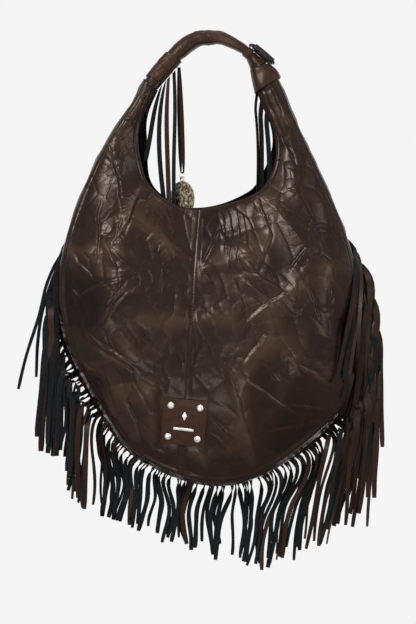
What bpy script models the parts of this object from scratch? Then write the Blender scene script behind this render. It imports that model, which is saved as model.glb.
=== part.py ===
"""Fringed leather shoulder bag: a slouching body hung on one short wrapped handle.

Metres, +Z up, X across the bag, front facing -Y. The origin is under the crown of
the handle, on the small level spot that rests on a hook.
"""
import math
import random

import bmesh
import bpy
import numpy as np
from mathutils import Matrix, Vector
from mathutils.bvhtree import BVHTree

# Driving sizes of the body
BODY_WIDTH = 0.396
BODY_HEIGHT = 0.526          # from the necks, where the handle leaves, to the lowest point
BODY_DEPTH = 0.116
MOUTH_OPENING = 0.058        # front edge to back edge, at the middle
BACK_EDGE_RISE = 0.004       # the back edge stands this much further into the mouth
GUSSET_WIDTH = 0.064         # at the bottom
SEAM_INSET = 0.011           # seam to outermost line, at the bottom
SIDE_SEAM_INSET = 0.005
LEATHER = 0.0014
LINING = 0.0008
LINING_EASE = 0.0022         # the lining hangs this far off the leather
CLEARANCE = 0.0003
NECK_EASE = 0.0012           # room between the strap and the leather gathered round it
FRONT_SEAM_GAP = 0.0011      # each side of the folded front seam
CENTRE_SEAM_GAP = 0.00025    # each side of the flat centre seam

# Driving sizes of the handle
HANDLE_SPAN = 0.152          # neck centre to neck centre
HANDLE_RISE = 0.051          # neck line to the underside of the crown
STRAP_THICKNESS = 0.0226
STRAP_WIDTH = 0.027
STRAP_FLAT = 0.86            # the underside is flattened at this share of the half thickness
SEAM_SLANT = 0.0055          # the crown seam leans this much each way
SEAM_GAP = 0.00015
CROWN_LEVEL = 0.0105         # the level underside starts this far left of the middle
CROWN_LEVEL_SLANT = 0.003

# Wrap, tassels and charm
LACE_WIDTH = 0.0105
LACE_THICKNESS = 0.0015
LACE_TURNS = 4
LACE_STEPS = 13              # straight pieces in one turn
TAB_WIDTH = 0.0125
TASSEL_SEAT = 0.0007         # under the lace, where a tassel strip is caught
TASSEL_WIDTH = 0.0062
TASSEL_THICKNESS = 0.0011
LOOP_WIDTH = 0.0062
LOOP_THICKNESS = 0.0012
LOOP_SEAT = 0.0018           # under the lace, where the loop is caught
LOOP_INNER = 0.0022          # half the inner width of the loop where the ring hangs
LOOP_WAIST = 0.0020          # the loop narrows to this inside the ring
LOOP_DROP = 0.1640           # crown underside to the middle of the loop's lower fold
LOOP_X = -0.0335
MEDAL_DIAMETER = 0.048
MEDAL_THICKNESS = 0.0024
MEDAL_RIM = 0.0026
MEDAL_FIELD_DEPTH = 0.0005   # the face lies this much under the rim
MEDAL_TURN = math.radians(-49.0)
LUG_RADIUS = 0.0030
LUG_WIRE = 0.0009            # radius, as for every wire here
LUG_SINK = 0.0006            # the lug runs this far into the medal
RING_RADIUS = 0.0042
RING_WIRE = 0.0007
CHARM_PLAY = 0.0004

# Buckle side
CUFF_WALL = 0.0015
CUFF_EASE = 0.0018           # room for the corners of the horn inside the cuff
CUFF_OVERLAP = 0.008         # the horn reaches this far into the cuff
KEEPER_WIDTH = 0.008
KEEPER_WALL = 0.0015
KEEPER_EASE = 0.0006         # room round the curved strap inside the straight keeper
BUCKLE_WIDTH = 0.034
BUCKLE_WIRE = 0.0021
BUCKLE_CORNER = 0.005
PRONG_WIRE = 0.0011
TONGUE_WIDTH = 0.021
TONGUE_THICKNESS = 0.0016

# Patch and rivets
PATCH_WIDTH = 0.0565
PATCH_HEIGHT = 0.0590
PATCH_THICKNESS = 0.0018
PATCH_GRID_X = -30.4         # patch centre on the grid of the body
PATCH_GRID_DROP = 436.3
SEAM_STEP = 0.0012           # steps aside where a seat falls into the centre seam
PATCH_TURN = math.radians(-5.4)
PATCH_SEAT = 0.0008
RIVET_DIAMETER = 0.0097
RIVET_HEIGHT = 0.0034
RIVET_EDGE = 0.0012          # straight edge under the dome
RIVET_SEAT = 0.0004
PLATE_SEAT = 0.0004
RIVET_INSET = 0.0095
PLATE_LENGTH = 0.026
PLATE_HEIGHT = 0.0034
PLATE_THICKNESS = 0.0010
LOZENGE_HEIGHT = 0.0125
LOZENGE_WIDTH = 0.0065

# Fringe
STRIP_WIDTH = 0.0064
STRIP_THICKNESS = 0.0012
STRIP_PITCH = 0.0084
STRIP_LAYER = 0.0016         # middle to middle where one strip lies over another
SIDE_STRIP_LENGTH = 0.196
BOTTOM_REACH = 0.004         # a strip leaves the seam this far before it hangs
MIDDLE_REACH = 0.012
SIDE_REACH = 0.022
BUNCH = 4                    # strips that cling together towards their tips
BUNCH_SEED = 1000
GATHER = 0.5                 # how far they close up on the middle of the bunch
SLANT_LIMIT = 0.8
LEFT_DRAPED = 0.30           # share of the side strips that fall over the front
RIGHT_DRAPED = 0.65
DRAPED_INWARD = (0.018, 0.046)
SIDE_BEGINS = 0.8            # sideways share of the seam's direction from which strips overlap
HEADER_INSIDE = 0.0009
HEADER_OUTSIDE = 0.0030
FRINGE_START = 6.15          # rib numbers between which the band is sewn in
FRINGE_END = 19.45
FRONT_DRAPE_GAP = 0.0022

# Ribs of the body, drawn on a grid 396 wide and 526 high: x from the middle and drop
# from the neck line, first at the mouth edge, then at the outermost line. They run from
# the left neck round the bottom to the right neck. The two end ribs follow the handle.
GRID_WIDTH = 396.0
GRID_HEIGHT = 526.0
RIBS = [
    ((-78, 30), (-98, 21)),
    ((-86, 47), (-117, 48)),
    ((-90, 63), (-136, 78)),
    ((-90, 81), (-154, 114)),
    ((-86, 104), (-171, 154)),
    ((-80, 124), (-186, 199)),
    ((-71, 137), (-196, 248)),
    ((-60, 147), (-196, 294)),
    ((-49, 154), (-183, 348)),
    ((-38, 159), (-152, 405)),
    ((-26, 162), (-102, 482)),
    ((-12, 163), (-36, 517)),
    ((6, 161), (28, 526)),
    ((23, 157), (86, 504)),
    ((39, 152), (140, 464)),
    ((53, 147), (180, 420)),
    ((65, 141), (197, 354)),
    ((74, 131), (199, 293)),
    ((81, 119), (190, 228)),
    ((86, 103), (173, 174)),
    ((88, 86), (152, 126)),
    ((86, 68), (132, 83)),
    ((80, 45), (113, 43)),
    ((70, 28), (104, 17)),
]
CENTRE_RIB = 12
LAST_RIB = 25
REACH_STEPS = 12             # samples of the outline between two ribs
NECK_BLEND_RIBS = 6.0

# Handle, drawn on a grid: x from the middle, height over the neck line, and half
# thickness and half width as shares of the strap's own.
HANDLE_GRID_SPAN = 152.0
HANDLE_GRID_RISE = 51.0
LEFT_STRAP = [
    (-79.5, -7.5, 0.46, 0.74),
    (-77.8, -4.0, 0.66, 0.82),
    (-75.0, 0.0, 0.80, 0.90),
    (-67.0, 9.5, 0.88, 0.96),
    (-59.0, 19.0, 0.90, 0.98),
    (-51.0, 28.0, 0.90, 0.98),
    (-44.0, 36.0, 0.92, 1.00),
    (-36.7, 42.4, 1.02, 1.04),
    (-28.9, 49.0, 1.04, 1.04),
    (-20.2, 55.5, 1.00, 1.02),
]
RIGHT_STRAP = [
    (12.0, 61.0, 0.88, 0.98),
    (22.5, 58.2, 0.73, 0.96),
    (37.3, 50.8, 0.62, 0.94),
    (46.2, 45.7, 0.56, 0.92),
    (52.0, 40.5, 0.48, 0.90),
    (58.8, 33.4, 0.46, 0.90),
    (65.0, 23.0, 0.52, 0.92),
    (71.5, 11.5, 0.56, 0.94),
    (76.5, 1.0, 0.56, 0.94),
    (79.0, -5.0, 0.52, 0.90),
]
CROWN_HALF = 0.90            # half thickness at the crown, as a share
WRAP_START = 2.15            # places along the left strap's points
WRAP_END = 6.0
LOOP_PLACE = 5.35            # where the charm's loop hangs from the wrap
KEEPER_PLACE = 4.0           # along the right strap's points
CUFF_REST_PLACE = 2.72       # along the cuff's rows, where the buckle's lower bar rests

# Tips of the fringe, on the grid of the body
TIPS = [(-244, 384), (-212, 473), (-194, 478), (-179, 495), (-161, 548), (-147, 569),
        (-109, 572), (-58, 600), (0, 615), (64, 633), (100, 637), (124, 633), (152, 613),
        (181, 595), (200, 566), (215, 539), (229, 527)]

FOLDS = [
    # start x, drop; end x, drop; half width; height, all on the body grid
    ((28, 361), (118, 430), 17, 5.0),
    ((-165, 325), (-92, 376), 16, 4.0),
    ((-146, 320), (-104, 258), 17, 4.5),
    ((70, 47), (112, 128), 15, 4.5),
    ((48, 230), (98, 280), 18, 4.5),
    ((52, 362), (80, 328), 16, 3.5),
    ((-122, 74), (-110, 170), 14, 4.0),
    ((-92, 160), (-118, 250), 16, 4.0),
    ((118, 262), (145, 330), 16, 4.0),
    ((-80, 405), (-92, 470), 15, 3.5),
    ((40, 420), (62, 505), 17, 4.0),
    ((118, 405), (122, 470), 15, 3.5),
]
FOLD_MARGIN = 0.020

FRONT_ROWS = 10
BACK_ROWS = 5
HALF_COLUMNS = 22            # columns of the shell on each side of the centre seam
LINING_COLUMNS = 26
LINING_START = 1.5           # rib where the lining begins and, from the other end, stops
SECTION_POINTS = 12


def clear_scene():
    for item in list(bpy.data.objects):
        bpy.data.objects.remove(item)


def make_collection(name):
    group = bpy.data.collections.new(name)
    bpy.context.scene.collection.children.link(group)
    return group


def make_material(name, colour, roughness, metallic=0.0):
    material = bpy.data.materials.new(name)
    material.use_nodes = True
    shader = material.node_tree.nodes["Principled BSDF"]
    shader.inputs["Base Color"].default_value = (*colour, 1.0)
    shader.inputs["Roughness"].default_value = roughness
    shader.inputs["Metallic"].default_value = metallic
    return material


def brown_leather(name):
    return make_material(name, (0.038, 0.020, 0.014), 0.38)


def suede(name):
    return make_material(name, (0.014, 0.014, 0.016), 0.9)


def silver(name):
    return make_material(name, (0.72, 0.69, 0.64), 0.2, 1.0)


def add_object(group, name, mesh, material, smooth=True):
    thing = bpy.data.objects.new(name, mesh)
    group.objects.link(thing)
    mesh.materials.clear()
    mesh.materials.append(material)
    if smooth:
        mesh.shade_smooth()
        mesh.set_sharp_from_angle(angle=math.radians(50))
    return thing


def curve_through(points, place):
    """Smooth curve through rows of numbers, read at a place counted in rows."""
    rows = np.asarray(points, dtype=float)
    last = len(rows) - 1
    place = min(max(place, 0.0), float(last))
    index = min(int(place), last - 1)
    t = place - index
    here = rows[index]
    after = rows[index + 1]
    before = rows[index - 1] if index > 0 else 2 * here - after
    beyond = rows[index + 2] if index + 2 <= last else 2 * after - here
    return 0.5 * (2 * here + (after - before) * t
                  + (2 * before - 5 * here + 4 * after - beyond) * t ** 2
                  + (3 * here - before - 3 * after + beyond) * t ** 3)


def smooth_step(value):
    value = min(max(value, 0.0), 1.0)
    return value * value * (3.0 - 2.0 * value)


def handle_rows(rows):
    span = HANDLE_SPAN / HANDLE_GRID_SPAN
    rise = HANDLE_RISE / HANDLE_GRID_RISE
    return [(x * span, z * rise - HANDLE_RISE, thick * STRAP_THICKNESS / 2, wide * STRAP_WIDTH / 2)
            for x, z, thick, wide in rows]


def strap_frame(rows, place):
    """Centre, direction along, direction across, half thickness and half width."""
    here = curve_through(rows, place)
    ahead = curve_through(rows, place + 0.05)
    behind = curve_through(rows, place - 0.05)
    along = Vector((ahead[0] - behind[0], 0.0, ahead[1] - behind[1])).normalized()
    across = Vector((-along.z, 0.0, along.x))
    return Vector((here[0], 0.0, here[1])), along, across, here[2], here[3]


def oval(centre, across, half_thick, half_wide, power=2.6, flat=1.0, count=SECTION_POINTS):
    """A soft oval ring of points around a strap; its underside can be flattened."""
    ring = []
    for step in range(count):
        angle = 2 * math.pi * step / count
        c = math.cos(angle)
        s = math.sin(angle)
        up = math.copysign(abs(c) ** (2 / power), c) * half_thick
        side = math.copysign(abs(s) ** (2 / power), s) * half_wide
        up = max(up, -flat * half_thick)
        ring.append(centre + across * up + Vector((0.0, side, 0.0)))
    return ring


def loft(name, rings, closed_tube=True, joined_ends=False):
    """Skin rings of points into one closed body, with flat ends or joined into a loop."""
    form = bmesh.new()
    rows = [[form.verts.new(point) for point in ring] for ring in rings]
    count = len(rings[0])
    pairs = list(zip(rows, rows[1:]))
    if joined_ends:
        pairs.append((rows[-1], rows[0]))
    for first, second in pairs:
        for step in range(count):
            after = (step + 1) % count
            form.faces.new((first[step], first[after], second[after], second[step]))
    if closed_tube and not joined_ends:
        form.faces.new(list(reversed(rows[0])))
        form.faces.new(rows[-1])
    bmesh.ops.recalc_face_normals(form, faces=form.faces)
    mesh = bpy.data.meshes.new(name)
    form.to_mesh(mesh)
    form.free()
    return mesh


def sleeve(name, outer_rings, inner_rings):
    """A hollow sleeve: up the outside, down the inside, open at both ends."""
    return loft(name, outer_rings + list(reversed(inner_rings)), joined_ends=True)


def ribbon(name, centres, sides, widths, thickness, slanted_start=False):
    """A flat strip along a path; each side vector points across its width."""
    rings = []
    last = len(centres) - 1
    for index, (centre, side) in enumerate(zip(centres, sides)):
        run = centres[min(index + 1, last)] - centres[max(index - 1, 0)]
        if index > 0 or not slanted_start:
            side = (side - run * (side.dot(run) / run.length_squared)).normalized()
        face = run.cross(side).normalized()
        half_w = side * widths[index] / 2
        half_t = face * thickness / 2
        rings.append([centre - half_w - half_t, centre + half_w - half_t,
                      centre + half_w + half_t, centre - half_w + half_t])
    return loft(name, rings)


def end_ribs():
    """The two end ribs: round the strap at the left neck, inside the cuff at the right."""
    left = handle_rows(LEFT_STRAP)
    centre, _, across, half, _ = strap_frame(left, 2.0)
    reach = half + NECK_EASE + LEATHER
    outer = centre + across * reach
    inner = centre - across * reach
    first = ((inner.x, inner.z), (outer.x, outer.z))
    cuff_inner, cuff_outer = cuff_edge(CUFF_OVERLAP)
    trim = (cuff_outer - cuff_inner).normalized() * (CUFF_WALL + CUFF_EASE)
    inner = cuff_inner + trim
    outer = cuff_outer - trim
    last = ((inner.x, inner.z), (outer.x, outer.z))
    return first, last


# Cuff on the body grid: inner edge, outer edge and half width as a share of the strap's
CUFF_RIBS = [
    ((60.5, 13.0), (95.0, -9.0), 1.42),
    ((58.5, 4.0), (92.5, -15.0), 1.40),
    ((56.5, -6.0), (87.5, -21.5), 1.33),
    ((54.5, -18.0), (79.0, -26.5), 1.20),
]


def cuff_row(place):
    rows = [(*inner, *outer, wide) for inner, outer, wide in CUFF_RIBS]
    x_scale = HANDLE_SPAN / HANDLE_GRID_SPAN
    z_scale = HANDLE_RISE / HANDLE_GRID_RISE
    ix, iz, ox, oz, wide = curve_through(rows, place)
    inner = Vector((ix * x_scale, 0.0, -iz * z_scale - HANDLE_RISE))
    outer = Vector((ox * x_scale, 0.0, -oz * z_scale - HANDLE_RISE))
    return inner, outer, wide * STRAP_WIDTH / 2


def cuff_edge(distance):
    """Inner and outer edge of the cuff, a distance up from its lower rim."""
    first = cuff_row(0.0)
    second = cuff_row(1.0)
    step = ((second[0] + second[1]) / 2 - (first[0] + first[1]) / 2).length
    inner, outer, _ = cuff_row(distance / step)
    return inner, outer


def body_ribs():
    x_scale = BODY_WIDTH / GRID_WIDTH
    z_scale = BODY_HEIGHT / GRID_HEIGHT
    first, last = end_ribs()
    drawn = HANDLE_GRID_SPAN / 2 * x_scale
    shift = HANDLE_SPAN / 2 - drawn
    rows = [(*first[0], *first[1])]
    for number, (inner, outer) in enumerate(RIBS, start=1):
        from_neck = min(number, LAST_RIB - number)
        fade = max(0.0, 1.0 - from_neck / NECK_BLEND_RIBS) ** 2
        side = -1.0 if number < CENTRE_RIB else 1.0
        push = side * shift * fade
        rows.append((inner[0] * x_scale + push, -inner[1] * z_scale - HANDLE_RISE,
                     outer[0] * x_scale + push, -outer[1] * z_scale - HANDLE_RISE))
    rows.append((*last[0], *last[1]))
    return rows


def section_sizes(place, length):
    """Half depth, half mouth, half gusset, seam inset and back rise of a section."""
    share = place / LAST_RIB
    middle = math.sin(math.pi * share) ** 2
    neck = 0.5 * STRAP_WIDTH * (0.90 if share < 0.5 else 0.96)
    neck = (neck + CLEARANCE + LEATHER) / 0.90
    full = BODY_DEPTH / 2
    depth = neck + (full - neck) * smooth_step((length - 0.025) / 0.26) ** 0.85
    mouth = 0.45 * neck + (MOUTH_OPENING / 2 - 0.45 * neck) * middle
    gusset = 0.76 * neck + (GUSSET_WIDTH / 2 - 0.76 * neck) * middle
    inset = SIDE_SEAM_INSET + (SEAM_INSET - SIDE_SEAM_INSET) * middle ** 2
    inset = min(inset, 0.11 * length)
    rise = BACK_EDGE_RISE * middle
    return depth, mouth, gusset, inset, rise


def section_points(place):
    """Corner and guide points of one section, as (out from the mouth edge, Y)."""
    rows = BODY_ROWS
    ix, iz, ox, oz = curve_through(rows, place)
    inner = Vector((ix, 0.0, iz))
    outer = Vector((ox, 0.0, oz))
    length = (outer - inner).length
    out = (outer - inner).normalized()
    depth, mouth, gusset, inset, rise = section_sizes(place, length)
    front = [(0.0, -mouth), (0.33 * length, -0.90 * depth),
             (0.68 * length, -depth), (length - inset, -gusset)]
    side = [(length - inset, -gusset), (length, 0.0), (length - inset, gusset)]
    back = [(length - inset, gusset), (0.68 * length, depth),
            (0.33 * length, 0.90 * depth), (-rise, mouth)]
    return inner, out, {"front": front, "side": side, "back": back}


def shell_point(place, part, share):
    """A point of the outer surface. Share runs along one part of the section."""
    inner, out, parts = section_points(place)
    rows = parts[part]
    r, y = curve_through(rows, share * (len(rows) - 1))
    return inner + out * r + Vector((0.0, y, 0.0))


def shell_normal(place, part, share):
    step = 0.02
    low = max(place - step, 0.0)
    high = min(place + step, float(LAST_RIB))
    along = shell_point(high, part, share) - shell_point(low, part, share)
    before = max(share - step, 0.0)
    after = min(share + step, 1.0)
    round_it = shell_point(place, part, after) - shell_point(place, part, before)
    return round_it.cross(along).normalized()


def part_length(place, part):
    points = [shell_point(place, part, step / 8) for step in range(9)]
    return sum((b - a).length for a, b in zip(points, points[1:]))


def fold_height(point):
    """Height of the drawn folds at a point of the front, seen from the front."""
    x_scale = BODY_WIDTH / GRID_WIDTH
    z_scale = BODY_HEIGHT / GRID_HEIGHT
    total = 0.0
    for start, end, half, height in FOLDS:
        a = Vector((start[0] * x_scale, -start[1] * z_scale - HANDLE_RISE))
        b = Vector((end[0] * x_scale, -end[1] * z_scale - HANDLE_RISE))
        p = Vector((point.x, point.z))
        t = min(max((p - a).dot(b - a) / (b - a).length_squared, 0.0), 1.0)
        off = (p - (a + (b - a) * t)).length / (half * x_scale)
        total += height * x_scale * math.exp(-off * off)
    return total


def folded_point(place, part, share, edges):
    """Outer surface with its folds, which die out towards the seams and edges."""
    point = shell_point(place, part, share)
    margin = min(share, 1.0 - share) * part_length(place, part) / FOLD_MARGIN
    for edge in edges:
        margin = min(margin, abs(place - edge) * 1.6)
    fade = smooth_step(margin)
    if fade == 0.0:
        return point
    return point + shell_normal(place, part, share) * fold_height(point) * fade


def shell_sheet(name, places, shares, placer):
    """A flat grid bent into place: one column for each place, one row for each share."""
    form = bmesh.new()
    columns = len(places) - 1
    rows = len(shares) - 1
    bmesh.ops.create_grid(form, x_segments=columns, y_segments=rows, size=0.5)
    for vert in form.verts:
        column = round((vert.co.x + 0.5) * columns)
        row = round((vert.co.y + 0.5) * rows)
        vert.co = placer(places[column], shares[row])
    bmesh.ops.reverse_faces(form, faces=form.faces)
    form.normal_update()
    mesh = bpy.data.meshes.new(name)
    form.to_mesh(mesh)
    form.free()
    return mesh


def add_thickness(thing, thickness, offset):
    solid = thing.modifiers.new("thickness", "SOLIDIFY")
    solid.thickness = thickness
    solid.offset = offset
    return solid


def spaced(low, high, count):
    return [low + (high - low) * step / count for step in range(count + 1)]


def even_places(low, high, columns):
    """Places that cut the outline of the bag into equally long columns."""
    fine = spaced(low, high, 240)
    points = [shell_point(place, "side", 0.5) for place in fine]
    run = [0.0]
    for a, b in zip(points, points[1:]):
        run.append(run[-1] + (b - a).length)
    return [float(np.interp(run[-1] * step / columns, run, fine)) for step in range(columns + 1)]


def rear_seam_gap():
    """Room each side of the rear seam for the fringe's header and its clearance."""
    return STRIP_THICKNESS / 2 + CLEARANCE + LEATHER * 0.9


def add_front_panel(group, name, places, hand):
    """Front panel on one side of the centre seam, stopped just short of that seam."""
    shares = spaced(0.0, 1.0, FRONT_ROWS)

    def place_vertex(place, share):
        length = part_length(place, "front")
        trimmed = share * (1.0 - FRONT_SEAM_GAP / length)
        point = folded_point(place, "front", trimmed, [CENTRE_RIB])
        if place == CENTRE_RIB:
            point.x += hand * CENTRE_SEAM_GAP
        return point

    mesh = shell_sheet(name, places, shares, place_vertex)
    panel = add_object(group, name, mesh, brown_leather(name))
    add_thickness(panel, LEATHER, -1.0)
    return panel


def add_gusset(group, places):
    shares = spaced(0.0, 1.0, 2)

    def place_vertex(place, share):
        length = part_length(place, "side")
        low = FRONT_SEAM_GAP / length
        high = 1.0 - rear_seam_gap() / length
        return shell_point(place, "side", low + (high - low) * share)

    mesh = shell_sheet("gusset", places, shares, place_vertex)
    gusset = add_object(group, "gusset", mesh, brown_leather("gusset"))
    add_thickness(gusset, LEATHER, -1.0)
    return gusset


def add_back_panel(group, places):
    shares = spaced(0.0, 1.0, BACK_ROWS)

    def place_vertex(place, share):
        length = part_length(place, "back")
        low = rear_seam_gap() / length
        return shell_point(place, "back", low + (1.0 - low) * share)

    mesh = shell_sheet("back_panel", places, shares, place_vertex)
    panel = add_object(group, "back_panel", mesh, brown_leather("back_panel"))
    add_thickness(panel, LEATHER, -1.0)
    return panel


def add_lining(group):
    """One bag of thin cloth inside the leather, from front edge to back edge."""
    places = even_places(LINING_START, LAST_RIB - LINING_START, LINING_COLUMNS)
    stations = [("front", 0.03), ("front", 0.28), ("front", 0.60), ("front", 0.88),
                ("side", 0.5), ("back", 0.14), ("back", 0.45), ("back", 0.75), ("back", 0.97)]
    shares = list(range(len(stations)))
    inward = LEATHER + LINING_EASE

    def place_vertex(place, number):
        part, share = stations[number]
        point = shell_point(place, part, share)
        return point - shell_normal(place, part, share) * inward

    mesh = shell_sheet("lining", places, shares, place_vertex)
    lining = add_object(group, "lining", mesh, make_material("lining", (0.008, 0.008, 0.009), 0.7))
    add_thickness(lining, LINING, -1.0)
    return lining


def strap_rings(rows, places, flat=STRAP_FLAT):
    rings = []
    for place in places:
        centre, _, across, half, wide = strap_frame(rows, place)
        rings.append(oval(centre, across, half, wide, flat=flat))
    return rings


def crown_ring(x, slant, half):
    """A ring at the crown: its underside lies level at the origin's height."""
    centre = Vector((x, 0.0, half * STRAP_FLAT))
    across = Vector((-slant / (half * (1 + STRAP_FLAT) / 2), 0.0, 1.0))
    return oval(centre, across, half, STRAP_WIDTH / 2, flat=STRAP_FLAT)


def add_straps(group):
    half = CROWN_HALF * STRAP_THICKNESS / 2
    left_rows = handle_rows(LEFT_STRAP)
    left = strap_rings(left_rows, spaced(0.0, len(left_rows) - 1, 12))
    left.append(crown_ring(-CROWN_LEVEL, CROWN_LEVEL_SLANT, half))
    left.append(crown_ring(-SEAM_GAP, SEAM_SLANT, half))
    mesh = loft("handle_strap_left", left)
    add_object(group, "handle_strap_left", mesh, brown_leather("handle_strap_left"))
    right_rows = handle_rows(RIGHT_STRAP)
    right = [crown_ring(SEAM_GAP, SEAM_SLANT, half)]
    right += strap_rings(right_rows, spaced(0.0, len(right_rows) - 1, 12))
    mesh = loft("handle_strap_right", right)
    add_object(group, "handle_strap_right", mesh, brown_leather("handle_strap_right"))


def wrap_point(rows, place, angle, lift):
    """A point on the wrap: angle 0 is the upper side, 90 degrees is the front."""
    centre, along, across, half, wide = strap_frame(rows, place)
    c = math.cos(angle)
    s = math.sin(angle)
    power = 2 / 2.6
    up = math.copysign(abs(c) ** power, c) * (half + lift)
    side = math.copysign(abs(s) ** power, s) * (wide + lift)
    return centre + across * up - Vector((0.0, side, 0.0)), along


def add_wrap(group):
    """Flat lace wound round the left neck in even turns, and a short tab over it."""
    rows = handle_rows(LEFT_STRAP)
    steps = LACE_TURNS * LACE_STEPS
    centres = []
    sides = []
    for step in range(steps + 1):
        share = step / steps
        place = WRAP_START + 0.35 + (WRAP_END - 0.35 - WRAP_START - 0.35) * share
        angle = math.radians(200) + 2 * math.pi * LACE_TURNS * share
        point, along = wrap_point(rows, place, angle, 2 * CLEARANCE + LACE_THICKNESS / 2)
        centres.append(point)
        sides.append(along)
    mesh = ribbon("wrap_lace", centres, sides, [LACE_WIDTH] * len(centres), LACE_THICKNESS)
    add_object(group, "wrap_lace", mesh, brown_leather("wrap_lace"))
    tab_lift = 3 * CLEARANCE + LACE_THICKNESS * 1.5
    centres = []
    sides = []
    for step in range(6):
        angle = math.radians(40 + 95 * step / 5)
        point, along = wrap_point(rows, WRAP_START + 2.6, angle, tab_lift)
        centres.append(point)
        sides.append(along)
    mesh = ribbon("wrap_tab", centres, sides, [TAB_WIDTH] * len(centres), LACE_THICKNESS)
    add_object(group, "wrap_tab", mesh, brown_leather("wrap_tab"))


# Strips of the two tassels on the handle's grid: name, y in mm, how far the face is
# turned, and x and drop under the crown of the points they hang through. A left strip
# starts under the wrap, at a place on the strap.
LEFT_TASSEL = [
    ("tassel_left_1", 2.55, 4.5, 20, [(-70.5, 85), (-76.0, 125), (-81.5, 150)]),
    ("tassel_left_2", 3.12, 0.0, -12, [(-64.0, 90), (-64.0, 150), (-55.5, 215)]),
    ("tassel_left_3", 3.72, -6.0, 15, [(-54.5, 90), (-52.5, 150), (-50.0, 225)]),
    ("tassel_left_4", 4.62, -5.0, -40, [(-42.0, 85), (-45.0, 150), (-44.0, 225)]),
]
RIGHT_TASSEL = [
    ("tassel_right_1", 0.0, 60, [(59.0, 67.2), (64.0, 100), (65.5, 150), (64.0, 200)]),
    ("tassel_right_2", 4.5, 8, [(66.5, 74.5), (70.0, 110), (70.0, 160), (69.0, 215)]),
    ("tassel_right_3", -5.0, -8, [(73.6, 83), (78.0, 120), (80.0, 160), (79.0, 205)]),
]


def facing(turn):
    return Vector((math.cos(math.radians(turn)), math.sin(math.radians(turn)), 0.0))


def add_tassels(group):
    rows = handle_rows(LEFT_STRAP)
    scale = HANDLE_SPAN / HANDLE_GRID_SPAN
    lift = 2 * CLEARANCE + LACE_THICKNESS + TASSEL_SEAT
    for name, place, y, turn, hanging in LEFT_TASSEL:
        top, along = wrap_point(rows, place, math.pi, lift)
        centres = [top] + [Vector((x, y, -drop)) * scale for x, drop in hanging]
        sides = [along] + [facing(turn)] * len(hanging)
        widths = [TASSEL_WIDTH] * len(centres)
        mesh = ribbon(name, centres, sides, widths, TASSEL_THICKNESS, slanted_start=True)
        add_object(group, name, mesh, suede(name))
    for name, y, turn, hanging in RIGHT_TASSEL:
        centres = [Vector((x, y, -drop)) * scale for x, drop in hanging]
        sides = [facing(turn)] * len(centres)
        mesh = ribbon(name, centres, sides, [TASSEL_WIDTH] * len(centres), TASSEL_THICKNESS)
        add_object(group, name, mesh, suede(name))


def laying_order(roots):
    """Bottom strips in two layers, then the sides from below, then those over the front."""
    bottom = [root for root in roots if abs(root["out"].x) < SIDE_BEGINS]
    hanging = [root for root in roots if root not in bottom and not root["draped"]]
    draped = [root for root in roots if root["draped"]]
    hanging.sort(key=lambda root: root["seam"].z)
    draped.sort(key=lambda root: root["seam"].z)
    return bottom[::2] + bottom[1::2] + hanging + draped


def add_fringe(group, front_tree, columns):
    """One band of strips sewn into the rear seam, each laid over those before it."""
    roots = fringe_roots(columns)
    depth_map = DepthMap(front_tree)
    for number, root in enumerate(roots):
        root["route"], root["draped"] = strip_route(number, root)
    for root in laying_order(roots):
        lay_strip(root, depth_map)
    form = bmesh.new()
    edges = []
    for first, second in zip([roots[0]] + roots, roots + [roots[-1]]):
        inside = form.verts.new((first["inside"] + second["inside"]) / 2)
        outside = form.verts.new((first["outside"] + second["outside"]) / 2)
        edges.append((inside, outside))
    edges[0][0].co = roots[0]["inside"] - roots[0]["along"] * STRIP_WIDTH / 2
    edges[0][1].co = roots[0]["outside"] - roots[0]["along"] * STRIP_WIDTH / 2
    edges[-1][0].co = roots[-1]["inside"] + roots[-1]["along"] * STRIP_WIDTH / 2
    edges[-1][1].co = roots[-1]["outside"] + roots[-1]["along"] * STRIP_WIDTH / 2
    for root, before, after in zip(roots, edges, edges[1:]):
        form.faces.new((before[0], after[0], after[1], before[1]))
        left = before[1]
        right = after[1]
        for centre, side in zip(root["centres"], root["sides"]):
            next_left = form.verts.new(centre - side * STRIP_WIDTH / 2)
            next_right = form.verts.new(centre + side * STRIP_WIDTH / 2)
            form.faces.new((left, right, next_right, next_left))
            left = next_left
            right = next_right
    bmesh.ops.recalc_face_normals(form, faces=form.faces)
    mesh = bpy.data.meshes.new("fringe_band")
    form.to_mesh(mesh)
    form.free()
    fringe = add_object(group, "fringe_band", mesh, suede("fringe_band"))
    add_thickness(fringe, STRIP_THICKNESS, 0.0)
    return fringe


def seam_corner(place, columns):
    """Rear seam at a place, on the straight edge between two columns of the shell."""
    after = min(max(int(np.searchsorted(columns, place)), 1), len(columns) - 1)
    low = columns[after - 1]
    share = (place - low) / (columns[after] - low)
    a = shell_point(low, "side", 1.0)
    return a.lerp(shell_point(columns[after], "side", 1.0), share)


def seam_root(place, columns):
    """Rear seam corner with the directions along it and out of it."""
    corner = seam_corner(place, columns)
    along = (seam_corner(place + 0.05, columns) - seam_corner(place - 0.05, columns)).normalized()
    edge = shell_point(place, "side", 1.0)
    from_gusset = (edge - shell_point(place, "side", 0.9)).normalized()
    from_back = (edge - shell_point(place, "back", 0.05)).normalized()
    out = (from_gusset + from_back).normalized()
    out = (out - along * out.dot(along)).normalized()
    return corner, along, out


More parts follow.
